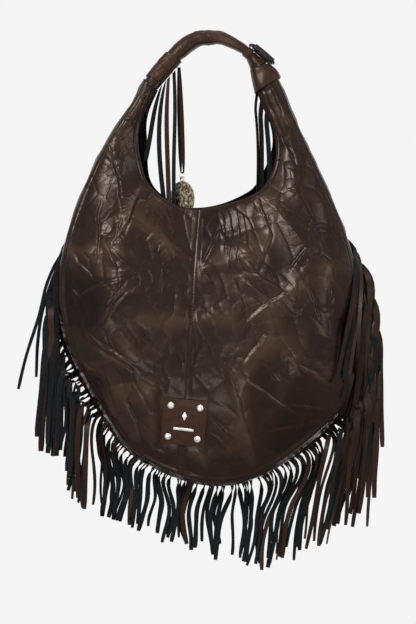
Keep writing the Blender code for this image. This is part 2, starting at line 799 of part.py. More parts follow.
def fringe_roots(columns):
    """Evenly spaced roots along the rear seam."""
    fine = spaced(FRINGE_START, FRINGE_END, 400)
    points = [seam_corner(place, columns) for place in fine]
    run = [0.0]
    for a, b in zip(points, points[1:]):
        run.append(run[-1] + (b - a).length)
    count = int(run[-1] / STRIP_PITCH)
    roots = []
    for number in range(count):
        wanted = (number + 0.5) * run[-1] / count
        place = float(np.interp(wanted, run, fine))
        corner, along, out = seam_root(place, columns)
        roots.append({"place": place, "seam": corner, "along": along, "out": out,
                      "front": shell_point(place, "side", 0.0).y,
                      "inside": corner - out * HEADER_INSIDE,
                      "outside": corner + out * HEADER_OUTSIDE})
    return roots


class DepthMap:
    """The foremost Y taken so far, on a fine grid seen from the front."""

    def __init__(self, front_tree):
        self.tree = front_tree
        self.cell = 0.001
        self.low_x = -BODY_WIDTH
        self.low_z = -BODY_HEIGHT - HANDLE_RISE - 0.4
        columns = int(2 * BODY_WIDTH / self.cell)
        rows = int((BODY_HEIGHT + 0.6) / self.cell)
        self.front = np.full((columns, rows), 1.0)

    def window(self, x, z, half):
        left = int((x - half - self.low_x) / self.cell)
        right = int((x + half - self.low_x) / self.cell) + 1
        row = int((z - self.low_z) / self.cell)
        return slice(max(left, 0), max(right, 1)), slice(max(row, 0), row + 2)

    def foremost(self, x, z, half):
        return float(self.front[self.window(x, z, half)].min())

    def lay(self, x, z, half, y):
        window = self.window(x, z, half)
        self.front[window] = np.minimum(self.front[window], y)

    def panel(self, x, z):
        hit = self.tree.ray_cast(Vector((x, -1.0, z)), Vector((0.0, 1.0, 0.0)))
        return hit[0].y if hit[0] else 1.0


def outline_reach(side, z):
    """Furthest the body reaches to one side, from a height downwards."""
    reach = 0.0
    for step in range(LAST_RIB * REACH_STEPS + 1):
        point = shell_point(step / REACH_STEPS, "side", 0.5)
        if point.z <= z + 0.004 and point.x * side > reach:
            reach = point.x * side
    return reach


def tip_level(x):
    """Height down to which the strips are cut."""
    spots = [spot for spot, _ in TIPS]
    drop = np.interp(x * GRID_WIDTH / BODY_WIDTH, spots, [level for _, level in TIPS])
    return -float(drop) * BODY_HEIGHT / GRID_HEIGHT - HANDLE_RISE


def strip_route(number, root):
    """Points one strip hangs through, seen from the front, and whether it is draped."""
    dice = random.Random(number)
    bunch = random.Random(BUNCH_SEED + number // BUNCH)
    start = root["outside"]
    flat_out = Vector((root["out"].x, 0.0, root["out"].z)).normalized()
    sideways = abs(flat_out.x)
    side = math.copysign(1.0, flat_out.x)
    clear = outline_reach(side, start.z) + STRIP_WIDTH / 2 + 2 * STRIP_THICKNESS
    upper = smooth_step((sideways - 0.75) / 0.25)
    middle = smooth_step(sideways / 0.5) * (1.0 - upper)
    reach = BOTTOM_REACH + MIDDLE_REACH * middle * dice.uniform(0.6, 1.2)
    reach += SIDE_REACH * upper * dice.random() ** 1.3
    slant = bunch.uniform(-0.13, 0.03) + dice.uniform(-0.02, 0.02)
    if side > 0:
        slant -= 0.10 * middle
    if sideways > 0.1:           # the outline falls away below, and the strip stays out of it
        limit = SLANT_LIMIT * abs(flat_out.z) / sideways
        slant = side * max(side * slant, -limit)
    sway = bunch.uniform(-0.007, 0.007)
    draped = upper > 0.6 and dice.random() < (RIGHT_DRAPED if side > 0 else LEFT_DRAPED)
    x = start.x + flat_out.x * reach
    if draped:
        x = side * max(abs(x), clear)
    elif sideways > 0.5 and abs(x) < clear:
        x = side * (clear * upper + abs(x) * (1.0 - upper))
    length = min((start.z - tip_level(x)) * dice.uniform(0.88, 1.0),
                 SIDE_STRIP_LENGTH * dice.uniform(0.90, 1.06))
    bend = start + flat_out * min(0.004, reach) + Vector((0.0, 0.0, -0.0015))
    top = Vector((x, 0.0, start.z - 0.007 - 0.55 * abs(x - start.x)))
    gather = (number % BUNCH - (BUNCH - 1) / 2) * STRIP_PITCH * GATHER * abs(flat_out.z)
    end = Vector((x + slant * length - gather, 0.0, start.z - length))
    wave = Vector((sway * (1.0 - upper), 0.0, 0.0))
    route = [start, bend]
    if draped:                   # out past the outline first, then round to the front
        bend.x = x
        route.append(top)
        top = top + Vector((0.0, 0.0, -0.020))
        end.x -= side * dice.uniform(*DRAPED_INWARD)
        route += [top, top.lerp(end, 0.5), end]
    elif sideways < 0.35:
        route += [bend.lerp(end, 0.45) + wave, end]
    else:
        route += [top, top.lerp(end, 0.5) + wave, end]
    return route, draped


def lay_strip(root, depth_map):
    """Lay one strip in front of what hangs there already."""
    start = root["outside"]
    route = root["route"]
    fine = 16
    samples = []
    for index, (a, b) in enumerate(zip(route, route[1:])):
        for step in range(fine):
            samples.append((index + step / fine, a.lerp(b, step / fine)))
    samples.append((len(route) - 1.0, route[-1]))
    limits = []
    for place, spot in samples:
        y = start.y - 0.0004 * place
        if place > 1.4:
            y = min(y, depth_map.foremost(spot.x, spot.z, STRIP_WIDTH / 2 + 0.0004) - STRIP_LAYER)
        if root["draped"] and place >= 3.0:
            y = min(y, root["front"] - FRONT_DRAPE_GAP)
            for off in (-STRIP_WIDTH / 2, 0.0, STRIP_WIDTH / 2):
                y = min(y, depth_map.panel(spot.x + off, spot.z) - FRONT_DRAPE_GAP)
        limits.append((place, y))
    heights = [start.y, start.y - 0.0008]
    for index in range(2, len(route)):
        near = [y for place, y in limits if index - 1 < place < index + 1 or place == index]
        heights.append(min(near))
    for place, spot in samples:
        index = min(int(place), len(route) - 2)
        t = place - index
        y = heights[index] * (1 - t) + heights[index + 1] * t
        depth_map.lay(spot.x, spot.z, STRIP_WIDTH / 2, y)
    root["centres"] = []
    root["sides"] = []
    level = Vector((1.0, 0.0, 0.0))
    for index in range(1, len(route)):
        root["centres"].append(Vector((route[index].x, heights[index], route[index].z)))
        share = min(1.0, index / 2)
        root["sides"].append((root["along"] * (1 - share) + level * share).normalized())


def charm_axes():
    """Facing direction of the medal, and the direction across it."""
    faces = Vector((math.sin(MEDAL_TURN), -math.cos(MEDAL_TURN), 0.0))
    return faces, Vector((faces.y, -faces.x, 0.0))


def charm_points():
    """Middle of the loop's fold, centre of the ring, of the lug and of the medal."""
    fold = Vector((LOOP_X, 0.0, -LOOP_DROP))
    ring_top = fold.z - LOOP_INNER + RING_WIRE + CHARM_PLAY
    ring = Vector((LOOP_X, 0.0, ring_top - RING_RADIUS))
    lug_top = ring.z - RING_RADIUS + RING_WIRE + LUG_WIRE + CHARM_PLAY
    lug = Vector((LOOP_X, 0.0, lug_top - LUG_RADIUS))
    medal = Vector((LOOP_X, 0.0, lug.z - LUG_RADIUS - MEDAL_DIAMETER / 2 + LUG_SINK))
    return fold, ring, lug, medal


# Leg of the charm's loop from the top down: half the spread and width as shares of the
# loop's own, and how far down the point lies
LOOP_LEG = [(0.30, 0.55, 0.0), (0.75, 1.0, 0.25), (1.10, 1.0, 0.60), (1.10, 0.9, 0.90)]
LOOP_FOLD_STEPS = 6


def add_charm_loop(group):
    """A long leather strip folded round the ring, both ends caught under the wrap."""
    faces, swing = charm_axes()
    fold, _, _, _ = charm_points()
    lift = 2 * CLEARANCE + LACE_THICKNESS + LOOP_SEAT
    top, _ = wrap_point(handle_rows(LEFT_STRAP), LOOP_PLACE, math.pi, lift)
    reach = LOOP_INNER + LOOP_THICKNESS / 2
    centres = []
    widths = []
    for spread, width, share in LOOP_LEG:
        centres.append(top.lerp(fold, share) - swing * reach * spread)
        widths.append(LOOP_WIDTH * width)
    for step in range(LOOP_FOLD_STEPS + 1):
        angle = math.pi * step / LOOP_FOLD_STEPS
        down = Vector((0.0, 0.0, math.sin(angle) * reach))
        centres.append(fold - swing * math.cos(angle) * reach - down)
        widths.append(LOOP_WAIST)
    for spread, width, share in reversed(LOOP_LEG):
        centres.append(top.lerp(fold, share) + swing * reach * spread)
        widths.append(LOOP_WIDTH * width)
    mesh = ribbon("charm_loop", centres, [faces] * len(centres), widths, LOOP_THICKNESS)
    add_object(group, "charm_loop", mesh, brown_leather("charm_loop"))


def torus(name, radius, wire, steps, wire_steps):
    """A ring of round wire lying in the XZ plane."""
    rings = []
    for step in range(steps):
        angle = 2 * math.pi * step / steps
        out = Vector((math.cos(angle), 0.0, math.sin(angle)))
        rings.append(oval(out * radius, out, wire, wire, power=2.0, count=wire_steps))
    return loft(name, rings, joined_ends=True)


def turned(group, name, profile, steps, material):
    """A round piece: its profile, as (radius, height), turned about Z by a Screw."""
    mesh = bpy.data.meshes.new(name)
    edges = [(index, index + 1) for index in range(len(profile) - 1)]
    mesh.from_pydata([(radius, 0.0, height) for radius, height in profile], edges, [])
    thing = add_object(group, name, mesh, material, smooth=False)
    screw = thing.modifiers.new("turn", "SCREW")
    screw.steps = steps
    screw.render_steps = steps
    screw.use_merge_vertices = True
    screw.merge_threshold = 0.00001
    screw.use_normal_calculate = True
    screw.use_smooth_shade = True
    return thing


def facing_matrix(direction):
    """Turns a piece whose axis is Z so that the axis points along the direction."""
    return direction.to_track_quat("Z", "Y").to_matrix().to_4x4()


def add_charm(group, cutters):
    """The ring in the loop's fold and the medal whose lug hangs on it."""
    faces, _ = charm_axes()
    _, ring_centre, lug_centre, medal_centre = charm_points()
    turn = math.atan2(faces.y, faces.x)
    mesh = torus("charm_ring", RING_RADIUS, RING_WIRE, 14, 6)
    mesh.transform(Matrix.Translation((0.0, 0.0, -RING_RADIUS)))
    ring = add_object(group, "charm_ring", mesh, silver("charm_ring"))
    ring.location = ring_centre + Vector((0.0, 0.0, RING_RADIUS))
    ring.rotation_euler.z = turn

    radius = MEDAL_DIAMETER / 2
    rim = MEDAL_THICKNESS / 2
    field = rim - MEDAL_FIELD_DEPTH
    profile = [(0.0, field), (radius - MEDAL_RIM, field), (radius - MEDAL_RIM * 0.8, rim),
               (radius - MEDAL_RIM * 0.15, rim), (radius, rim * 0.7)]
    profile += [(r, -height) for r, height in reversed(profile)]
    medal = turned(group, "charm_medal", profile, 22, silver("charm_medal"))
    medal.location = medal_centre
    medal.rotation_euler = facing_matrix(faces).to_euler()
    lug_mesh = torus("charm_lug", LUG_RADIUS, LUG_WIRE, 12, 6)
    lug = add_object(cutters, "charm_lug", lug_mesh, silver("charm_lug"))
    lug.rotation_euler.z = turn + math.pi / 2
    lug.location = lug_centre
    lug.hide_render = True
    lug.display_type = "WIRE"
    join = medal.modifiers.new("lug", "BOOLEAN")
    join.operation = "UNION"
    join.solver = "EXACT"
    join.object = lug
    graph = bpy.context.evaluated_depsgraph_get()
    graph.update()
    whole = bpy.data.meshes.new_from_object(medal.evaluated_get(graph))
    medal.modifiers.clear()
    whole.transform(Matrix.Translation(medal_centre - ring_centre) @ facing_matrix(faces))
    medal.data = whole
    medal.location = ring_centre
    medal.rotation_euler = (0.0, 0.0, 0.0)


def superellipse(centre, across, half_thick, half_wide):
    return oval(centre, across, half_thick, half_wide, power=3.0, count=14)


def add_cuff(group):
    """Flared stitched cuff that holds the gathered horn on the right."""
    outer = []
    inner = []
    for place in range(len(CUFF_RIBS)):
        low, high, wide = cuff_row(place)
        centre = (low + high) / 2
        half = (high - low).length / 2
        across = (high - low).normalized()
        outer.append(superellipse(centre, across, half, wide))
        inner.append(superellipse(centre, across, half - CUFF_WALL, wide - CUFF_WALL))
    mesh = sleeve("strap_cuff", outer, inner)
    add_object(group, "strap_cuff", mesh, brown_leather("strap_cuff"))


def keeper_ring(centre, across, half, wide, lift):
    return oval(centre, across, half + lift, wide + lift)


def add_keeper(group):
    """Band round the right strap above the buckle."""
    centre, along, across, half, wide = strap_frame(handle_rows(RIGHT_STRAP), KEEPER_PLACE)
    inner = []
    outer = []
    for reach in (-KEEPER_WIDTH / 2, 0.0, KEEPER_WIDTH / 2):
        spot = centre + along * reach
        inner.append(keeper_ring(spot, across, half, wide, KEEPER_EASE))
        outer.append(keeper_ring(spot, across, half, wide, KEEPER_EASE + KEEPER_WALL))
    mesh = sleeve("strap_keeper", outer, inner)
    add_object(group, "strap_keeper", mesh, brown_leather("strap_keeper"))


def buckle_line():
    """Middles of the upper and lower bar, direction between them and direction outwards."""
    centre, _, across, half, _ = strap_frame(handle_rows(RIGHT_STRAP), KEEPER_PLACE)
    upper = centre + across * (half + KEEPER_EASE + KEEPER_WALL + CLEARANCE + BUCKLE_WIRE)
    _, rest, _ = cuff_row(CUFF_REST_PLACE)
    _, above, _ = cuff_row(CUFF_REST_PLACE + 0.2)
    slope = (above - rest).normalized()
    lower = rest + Vector((-slope.z, 0.0, slope.x)) * (CLEARANCE + BUCKLE_WIRE)
    if lower.z < rest.z:
        lower = rest + Vector((slope.z, 0.0, -slope.x)) * (CLEARANCE + BUCKLE_WIRE)
    run = (lower - upper).normalized()
    return upper, lower, run, Vector((-run.z, 0.0, run.x))


def add_wire(group, name, points, wire, closed, material):
    """A bevelled curve through the points, turned into a mesh."""
    curve = bpy.data.curves.new(name, "CURVE")
    curve.dimensions = "3D"
    curve.bevel_depth = wire
    curve.bevel_resolution = 1
    curve.use_fill_caps = True
    spline = curve.splines.new("POLY")
    spline.points.add(len(points) - 1)
    for target, point in zip(spline.points, points):
        target.co = (*point, 1.0)
    spline.use_cyclic_u = closed
    thing = bpy.data.objects.new(name, curve)
    mesh = bpy.data.meshes.new_from_object(thing)
    bpy.data.objects.remove(thing)
    bpy.data.curves.remove(curve)
    return add_object(group, name, mesh, material)


def add_buckle(group):
    """Dark buckle bridging keeper and cuff, its leather tongue, and the prong on top."""
    upper, lower, run, out = buckle_line()
    dark = make_material("buckle_frame", (0.02, 0.02, 0.022), 0.35, 1.0)
    half_width = BUCKLE_WIDTH / 2 - BUCKLE_WIRE
    length = (lower - upper).length
    corners = []
    for s, y, first in ((length, half_width, 0), (0.0, half_width, 90),
                        (0.0, -half_width, 180), (length, -half_width, 270)):
        for step in range(3):
            angle = math.radians(first + 45 * step)
            s_mid = s + (-BUCKLE_CORNER if s > 0 else BUCKLE_CORNER)
            y_mid = y - math.copysign(BUCKLE_CORNER, y)
            along = s_mid + math.cos(angle) * BUCKLE_CORNER
            side = y_mid + math.sin(angle) * BUCKLE_CORNER
            corners.append(upper + run * along + Vector((0.0, side, 0.0)))
    add_wire(group, "buckle_frame", corners, BUCKLE_WIRE, True, dark)

    lift = BUCKLE_WIRE + CLEARANCE + TONGUE_THICKNESS / 2
    rest_high = BUCKLE_WIRE - TONGUE_THICKNESS / 2
    path = [(-KEEPER_WIDTH / 2 - 0.002, -rest_high), (-lift * 0.85, lift * 0.55), (0.0, lift * 1.06),
            (length * 0.5, lift * 1.25), (length, lift * 1.06), (length + lift * 0.85, lift * 0.50)]
    centres = [upper + run * s + out * n for s, n in path]
    side = [Vector((0.0, 1.0, 0.0))] * len(centres)
    mesh = ribbon("buckle_tongue", centres, side, [TONGUE_WIDTH] * len(centres), TONGUE_THICKNESS)
    add_object(group, "buckle_tongue", mesh, brown_leather("buckle_tongue"))

    prong_lift = TONGUE_THICKNESS / 2 + CLEARANCE + PRONG_WIRE
    prong = [upper + run * (length * share) + out * (lift * high + prong_lift)
             for share, high in ((0.0, 1.06), (0.5, 1.25), (1.0, 1.06))]
    add_wire(group, "buckle_prong", prong, PRONG_WIRE, False,
             make_material("buckle_prong", (0.02, 0.02, 0.022), 0.35, 1.0))


def patch_axes():
    right = Vector((math.cos(PATCH_TURN), 0.0, math.sin(PATCH_TURN)))
    return right, Vector((-right.z, 0.0, right.x))


def patch_spot(u, v):
    """A point of the patch seen from the front, u to the right and v upwards."""
    right, up = patch_axes()
    x = PATCH_GRID_X * BODY_WIDTH / GRID_WIDTH
    z = -PATCH_GRID_DROP * BODY_HEIGHT / GRID_HEIGHT - HANDLE_RISE
    return Vector((x, -1.0, z)) + right * u + up * v


def seat_on(tree, u, v, gap):
    """Where a piece of the patch rests on the surface behind it, and the way out."""
    spot, normal, _, _ = tree.ray_cast(patch_spot(u, v), Vector((0.0, 1.0, 0.0)))
    if spot is None:             # exactly over the centre seam
        spot, normal, _, _ = tree.ray_cast(patch_spot(u + SEAM_STEP, v), Vector((0.0, 1.0, 0.0)))
    if normal.y > 0:
        normal = -normal
    return spot + normal * gap, normal


def add_patch(group, front_tree):
    """Leather patch that follows the front panels, with its rivets and ornament."""
    steps = 5
    form = bmesh.new()
    bmesh.ops.create_grid(form, x_segments=steps, y_segments=steps, size=0.5)
    for vert in form.verts:
        spot, _ = seat_on(front_tree, vert.co.x * PATCH_WIDTH, vert.co.y * PATCH_HEIGHT, 0.0)
        vert.co = spot - Vector((0.0, PATCH_SEAT, 0.0))
    bmesh.ops.recalc_face_normals(form, faces=form.faces)
    form.faces.ensure_lookup_table()
    if form.faces[0].normal.y > 0:
        bmesh.ops.reverse_faces(form, faces=form.faces)
    mesh = bpy.data.meshes.new("label_patch")
    form.to_mesh(mesh)
    form.free()
    patch = add_object(group, "label_patch", mesh, brown_leather("label_patch"))
    add_thickness(patch, PATCH_THICKNESS, 1.0)

    tree = surface_tree([patch])
    number = 0
    radius = RIVET_DIAMETER / 2
    dome = [(0.0, 0.0), (radius, 0.0), (radius, RIVET_EDGE), (radius * 0.80, RIVET_HEIGHT * 0.72),
            (radius * 0.45, RIVET_HEIGHT * 0.94), (0.0, RIVET_HEIGHT)]
    for v in (1.0, -1.0):
        for u in (-1.0, 1.0):
            number += 1
            seat, normal = seat_on(tree, u * (PATCH_WIDTH / 2 - RIVET_INSET),
                                   v * (PATCH_HEIGHT / 2 - RIVET_INSET), RIVET_SEAT)
            name = f"rivet_{number}"
            rivet = turned(group, name, dome, 12, silver(name))
            rivet.matrix_world = Matrix.Translation(seat) @ facing_matrix(normal)
    ornament = [("patch_lozenge", 0.0, 0.008, LOZENGE_WIDTH, LOZENGE_HEIGHT, 4),
                ("patch_bar", 0.0, -0.009, PLATE_LENGTH, PLATE_HEIGHT, 0)]
    for name, u, v, width, height, corners in ornament:
        seat, normal = seat_on(tree, u, v, PLATE_SEAT + PLATE_THICKNESS / 2)
        form = bmesh.new()
        if corners:
            bmesh.ops.create_cone(form, cap_ends=True, segments=corners, radius1=0.5, radius2=0.5,
                                  depth=PLATE_THICKNESS)
        else:
            bmesh.ops.create_cube(form, size=1.0)
            bmesh.ops.scale(form, verts=form.verts, vec=(1.0, 1.0, PLATE_THICKNESS))
        bmesh.ops.scale(form, verts=form.verts, vec=(width, height, 1.0))
        mesh = bpy.data.meshes.new(name)
        form.to_mesh(mesh)
        form.free()
        plate = add_object(group, name, mesh, silver(name), smooth=False)
        right, _ = patch_axes()
        right = (right - normal * right.dot(normal)).normalized()
        basis = Matrix((right, normal.cross(right), normal)).transposed().to_4x4()
        plate.matrix_world = Matrix.Translation(seat) @ basis


def build():
    clear_scene()
    group = make_collection("fringed_leather_bag")
    cutters = make_collection("cutters")
    left_places = even_places(0.0, CENTRE_RIB, HALF_COLUMNS)
    right_places = even_places(CENTRE_RIB, LAST_RIB, HALF_COLUMNS)
    left_places[-1] = CENTRE_RIB
    right_places[0] = CENTRE_RIB
    columns = left_places + right_places[1:]
    left_panel = add_front_panel(group, "front_panel_left", left_places, -1.0)
    right_panel = add_front_panel(group, "front_panel_right", right_places, 1.0)
    add_gusset(group, columns)
    add_back_panel(group, columns)
    add_lining(group)
    add_straps(group)
    add_wrap(group)
    add_tassels(group)
    add_charm_loop(group)
    add_charm(group, cutters)
    add_cuff(group)
    add_keeper(group)
    add_buckle(group)
    tree = surface_tree([left_panel, right_panel])
    add_patch(group, tree)
    add_fringe(group, tree, columns)


def surface_tree(things):
    """One search tree over the outer faces of several objects."""
    graph = bpy.context.evaluated_depsgraph_get()
    graph.update()
    verts = []
    faces = []
    for thing in things:
        mesh = thing.evaluated_get(graph).to_mesh()
        base = len(verts)
        verts += [thing.matrix_world @ vert.co for vert in mesh.vertices]
        faces += [[base + index for index in face.vertices] for face in mesh.polygons]
    return BVHTree.FromPolygons(verts, faces)


BODY_ROWS = body_ribs()
build()
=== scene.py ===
# %% [markdown]
# # A fringed leather bag, made step by step
# The hard facts of the bag (where each piece is and how big it is) come from a packed
# frame. Here each piece gets the shape and the surface that the eye sees: creased
# glossy leather, cut fringe, stitches, a wrapped neck and a small medal.

# %% Load the frame
import math
import random

import bpy
import numpy as np
from mathutils import Matrix, Vector, noise
from mathutils.bvhtree import BVHTree


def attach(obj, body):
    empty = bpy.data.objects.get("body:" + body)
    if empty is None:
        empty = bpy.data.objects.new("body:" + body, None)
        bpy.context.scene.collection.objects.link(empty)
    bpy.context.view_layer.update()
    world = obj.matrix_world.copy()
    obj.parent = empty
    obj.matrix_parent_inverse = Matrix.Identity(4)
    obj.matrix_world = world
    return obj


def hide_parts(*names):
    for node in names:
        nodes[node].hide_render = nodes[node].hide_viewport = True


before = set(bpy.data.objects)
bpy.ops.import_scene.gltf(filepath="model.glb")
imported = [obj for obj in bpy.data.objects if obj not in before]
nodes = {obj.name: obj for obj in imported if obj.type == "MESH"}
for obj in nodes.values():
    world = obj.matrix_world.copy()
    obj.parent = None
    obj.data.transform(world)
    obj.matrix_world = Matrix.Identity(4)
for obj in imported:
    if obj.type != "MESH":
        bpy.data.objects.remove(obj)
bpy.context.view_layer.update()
print("pieces in the frame:", len(nodes))

# %% [markdown]
# ## Camera, background and light
# The bag hangs over a pale floor, against a pale background, and is looked at square on,
# from far enough away that it hardly widens towards the camera. All drawing below is done
# on a grid as wide as the picture: one step is 1.3 mm.

# %% Camera and light
STEP = 0.0013
GRID_X = 208.0
GRID_Z = 45.0
PICTURE_ROWS = 624
CAMERA_DISTANCE = 2.6
SENSOR = 36.0


def on_grid(x, z):
    """A point of the picture grid as X and Z in metres."""
    return (x - GRID_X) * STEP, (GRID_Z - z) * STEP


scene = bpy.context.scene
scene.view_settings.view_transform = "Standard"
camera_data = bpy.data.cameras.new("camera")
camera_data.sensor_fit = "VERTICAL"
camera_data.sensor_height = SENSOR
camera_data.lens = SENSOR * CAMERA_DISTANCE / (PICTURE_ROWS * STEP)
camera = bpy.data.objects.new("camera", camera_data)
scene.collection.objects.link(camera)
camera.location = (0.0, -CAMERA_DISTANCE, on_grid(0, PICTURE_ROWS / 2)[1])
camera.rotation_euler = (math.radians(90), 0.0, 0.0)
scene.camera = camera


def add_lamp(name, place, aim, size, power):
    bpy.ops.object.light_add(type="AREA", location=place)
    lamp = bpy.context.object
    lamp.name = name
    lamp.data.shape = "RECTANGLE"
    lamp.data.size, lamp.data.size_y = size
    lamp.data.energy = power
    lamp.rotation_euler = (Vector(aim) - Vector(place)).to_track_quat("-Z", "Y").to_euler()


middle = (0.0, 0.0, -0.35)
add_lamp("key", (-0.8, -1.7, 0.60), middle, (0.5, 0.5), 38.0)
add_lamp("fill", (1.3, -1.4, 0.1), middle, (0.6, 1.2), 12.0)
add_lamp("top", (0.1, -0.2, 1.2), middle, (1.0, 0.5), 7.0)
add_lamp("low", (-0.4, -2.0, -0.95), middle, (0.7, 0.4), 8.0)

PALE = (0.913, 0.913, 0.913, 1.0)
SOFT_LIGHT = 0.14
world = bpy.data.worlds.new("world")
scene.world = world
world.use_nodes = True
tree = world.node_tree
tree.nodes.clear()
output = tree.nodes.new("ShaderNodeOutputWorld")
mix = tree.nodes.new("ShaderNodeMixShader")
seen = tree.nodes.new("ShaderNodeBackground")
light = tree.nodes.new("ShaderNodeBackground")
rays = tree.nodes.new("ShaderNodeLightPath")
seen.inputs["Color"].default_value = PALE
light.inputs["Color"].default_value = (1.0, 1.0, 1.0, 1.0)
light.inputs["Strength"].default_value = SOFT_LIGHT
pale_rays = rays.outputs["Is Camera Ray"]
for other in ("Is Glossy Ray", "Is Transmission Ray"):
    either = tree.nodes.new("ShaderNodeMath")
    either.operation = "MAXIMUM"
    tree.links.new(pale_rays, either.inputs[0])
    tree.links.new(rays.outputs[other], either.inputs[1])
    pale_rays = either.outputs["Value"]
tree.links.new(pale_rays, mix.inputs["Fac"])
tree.links.new(light.outputs["Background"], mix.inputs[1])
tree.links.new(seen.outputs["Background"], mix.inputs[2])
tree.links.new(mix.outputs["Shader"], output.inputs["Surface"])
print("camera lens", round(camera_data.lens, 1), "mm")

FLOOR_HEIGHT = -0.98
FLOOR_RADIUS = 0.8
FLOOR_COLOUR = (0.80, 0.80, 0.80, 1.0)
bpy.ops.mesh.primitive_circle_add(vertices=96, radius=FLOOR_RADIUS, fill_type="NGON",
                                  location=(0.0, 0.0, FLOOR_HEIGHT))
floor = bpy.context.object
floor.name = "floor"
floor_paint = bpy.data.materials.new("floor_paint")
floor_paint.use_nodes = True
floor_surface = floor_paint.node_tree.nodes["Principled BSDF"]
floor_surface.inputs["Base Color"].default_value = FLOOR_COLOUR
floor_surface.inputs["Roughness"].default_value = 0.9
floor.data.materials.append(floor_paint)

# %% [markdown]
# ## Materials
# Smooth leather is a dark brown with a fine grain. Its colour follows the height of the creases:
# darker in the hollows, which is painted shade, and lighter on the ridges, partly from wear and partly
# painted highlight. The back of the leather is charcoal suede. Metal is silver, old brass or gunmetal.


# %% Materials
class Shader:
    """A short way to write node trees."""

    def __init__(self, name):
        self.material = bpy.data.materials.new(name)
        self.material.use_nodes = True
        self.tree = self.material.node_tree
        self.surface = self.tree.nodes["Principled BSDF"]
        self.place = self.node("TexCoord").outputs["Object"]

    def node(self, kind, **settings):
        made = self.tree.nodes.new("ShaderNode" + kind)
        for key, value in settings.items():
            setattr(made, key, value)
        return made

    def link(self, output, target):
        self.tree.links.new(output, target)

    def noise(self, scale, detail=4.0, rough=0.55, stretch=(1.0, 1.0, 1.0)):
        where = self.node("Mapping")
        where.inputs["Scale"].default_value = stretch
        self.link(self.place, where.inputs["Vector"])
        made = self.node("TexNoise")
        made.inputs["Scale"].default_value = scale
        made.inputs["Detail"].default_value = detail
        made.inputs["Roughness"].default_value = rough
        self.link(where.outputs["Vector"], made.inputs["Vector"])
        return made.outputs["Fac"]

    def creases(self, scale, stretch):
        """Sharp ridges in patches, from a noise that folds back on itself."""
        fac = self.noise(scale, 5.0, 0.5, stretch)
        fac.node.noise_type = "RIDGED_MULTIFRACTAL"
        mask = self.scaled(self.noise(9.0, 2.0), 0.42, 0.62, 0.0, 1.0)
        made = self.node("Math", operation="MULTIPLY")
        self.link(fac, made.inputs[0])
        self.link(mask, made.inputs[1])
        return made.outputs[0]

    def cells(self, scale):
        made = self.node("TexVoronoi", feature="DISTANCE_TO_EDGE")
        made.inputs["Scale"].default_value = scale
        self.link(self.place, made.inputs["Vector"])
        return made.outputs["Distance"]

    def attribute(self, name):
        return self.node("Attribute", attribute_name=name).outputs["Fac"]

    def ramp(self, value, stops):
        made = self.node("ValToRGB")
        made.color_ramp.elements[0].position = stops[0][0]
        made.color_ramp.elements[0].color = (*stops[0][1], 1.0)
        made.color_ramp.elements[1].position = stops[-1][0]
        made.color_ramp.elements[1].color = (*stops[-1][1], 1.0)
        for place, colour in stops[1:-1]:
            made.color_ramp.elements.new(place).color = (*colour, 1.0)
        self.link(value, made.inputs["Fac"])
        return made.outputs["Color"]

    def scaled(self, value, low, high, new_low, new_high):
        made = self.node("MapRange")
        limits = {"From Min": low, "From Max": high, "To Min": new_low, "To Max": new_high}
        for key, number in limits.items():
            made.inputs[key].default_value = number
        self.link(value, made.inputs["Value"])
        return made.outputs["Result"]

    def multiplied(self, first, second):
        made = self.node("Mix", data_type="RGBA", blend_type="MULTIPLY")
        made.inputs[0].default_value = 1.0
        self.link(first, made.inputs[6])
        self.link(second, made.inputs[7])
        return made.outputs[2]

    def bumps(self, *layers):
        last = None
        for height, distance, strength in layers:
            made = self.node("Bump")
            made.inputs["Distance"].default_value = distance
            made.inputs["Strength"].default_value = strength
            self.link(height, made.inputs["Height"])
            if last:
                self.link(last, made.inputs["Normal"])
            last = made.outputs["Normal"]
        self.link(last, self.surface.inputs["Normal"])

    def set(self, **values):
        for key, value in values.items():
            self.surface.inputs[key.replace("_", " ")].default_value = value


def leather(name, dark, plain, wear_and_highlight, rough=(0.30, 0.46), coat=0.12, crinkle=1.0):
    make = Shader(name)
    ridge = make.attribute("ridge")
    # Colour by crease height: the dark end is painted shade in the hollows, the light end is wear with
    # painted highlight on the ridges.
    colour = make.ramp(ridge, [(0.0, dark), (0.42, plain), (0.60, plain), (1.0, wear_and_highlight)])
    cloud = make.ramp(make.noise(14.0), [(0.3, (0.86, 0.84, 0.82)), (0.7, (1.08, 1.06, 1.04))])
    make.link(make.multiplied(colour, cloud), make.surface.inputs["Base Color"])
    make.link(make.scaled(make.noise(55.0), 0.3, 0.7, *rough), make.surface.inputs["Roughness"])
    make.set(Specular_IOR_Level=0.16, Coat_Weight=0.5 * coat, Coat_Roughness=0.18)
    make.set(Specular_Tint=(1.0, 0.76, 0.62, 1.0), Coat_Tint=(1.0, 0.84, 0.72, 1.0))
    make.bumps((make.creases(30.0, (1.0, 1.0, 0.35)), 0.0014, 0.55 * crinkle),
               (make.creases(52.0, (0.4, 1.0, 1.3)), 0.0008, 0.55 * crinkle),
               (make.creases(85.0, (1.2, 1.0, 0.6)), 0.0005, 0.6 * crinkle),
               (make.noise(300.0, 3.0), 0.0004, 0.30),
               (make.cells(900.0), 0.0002, 0.35))
    return make.material


def suede(name, dark, pale):
    make = Shader(name)
    nap = make.noise(160.0, 6.0, 0.7)
    make.link(make.ramp(nap, [(0.3, dark), (0.7, pale)]), make.surface.inputs["Base Color"])
    make.set(Roughness=0.92, Specular_IOR_Level=0.08, Sheen_Weight=0.08, Sheen_Roughness=0.5)
    make.bumps((make.noise(1400.0, 3.0, 0.7), 0.0003, 0.8))
    return make.material


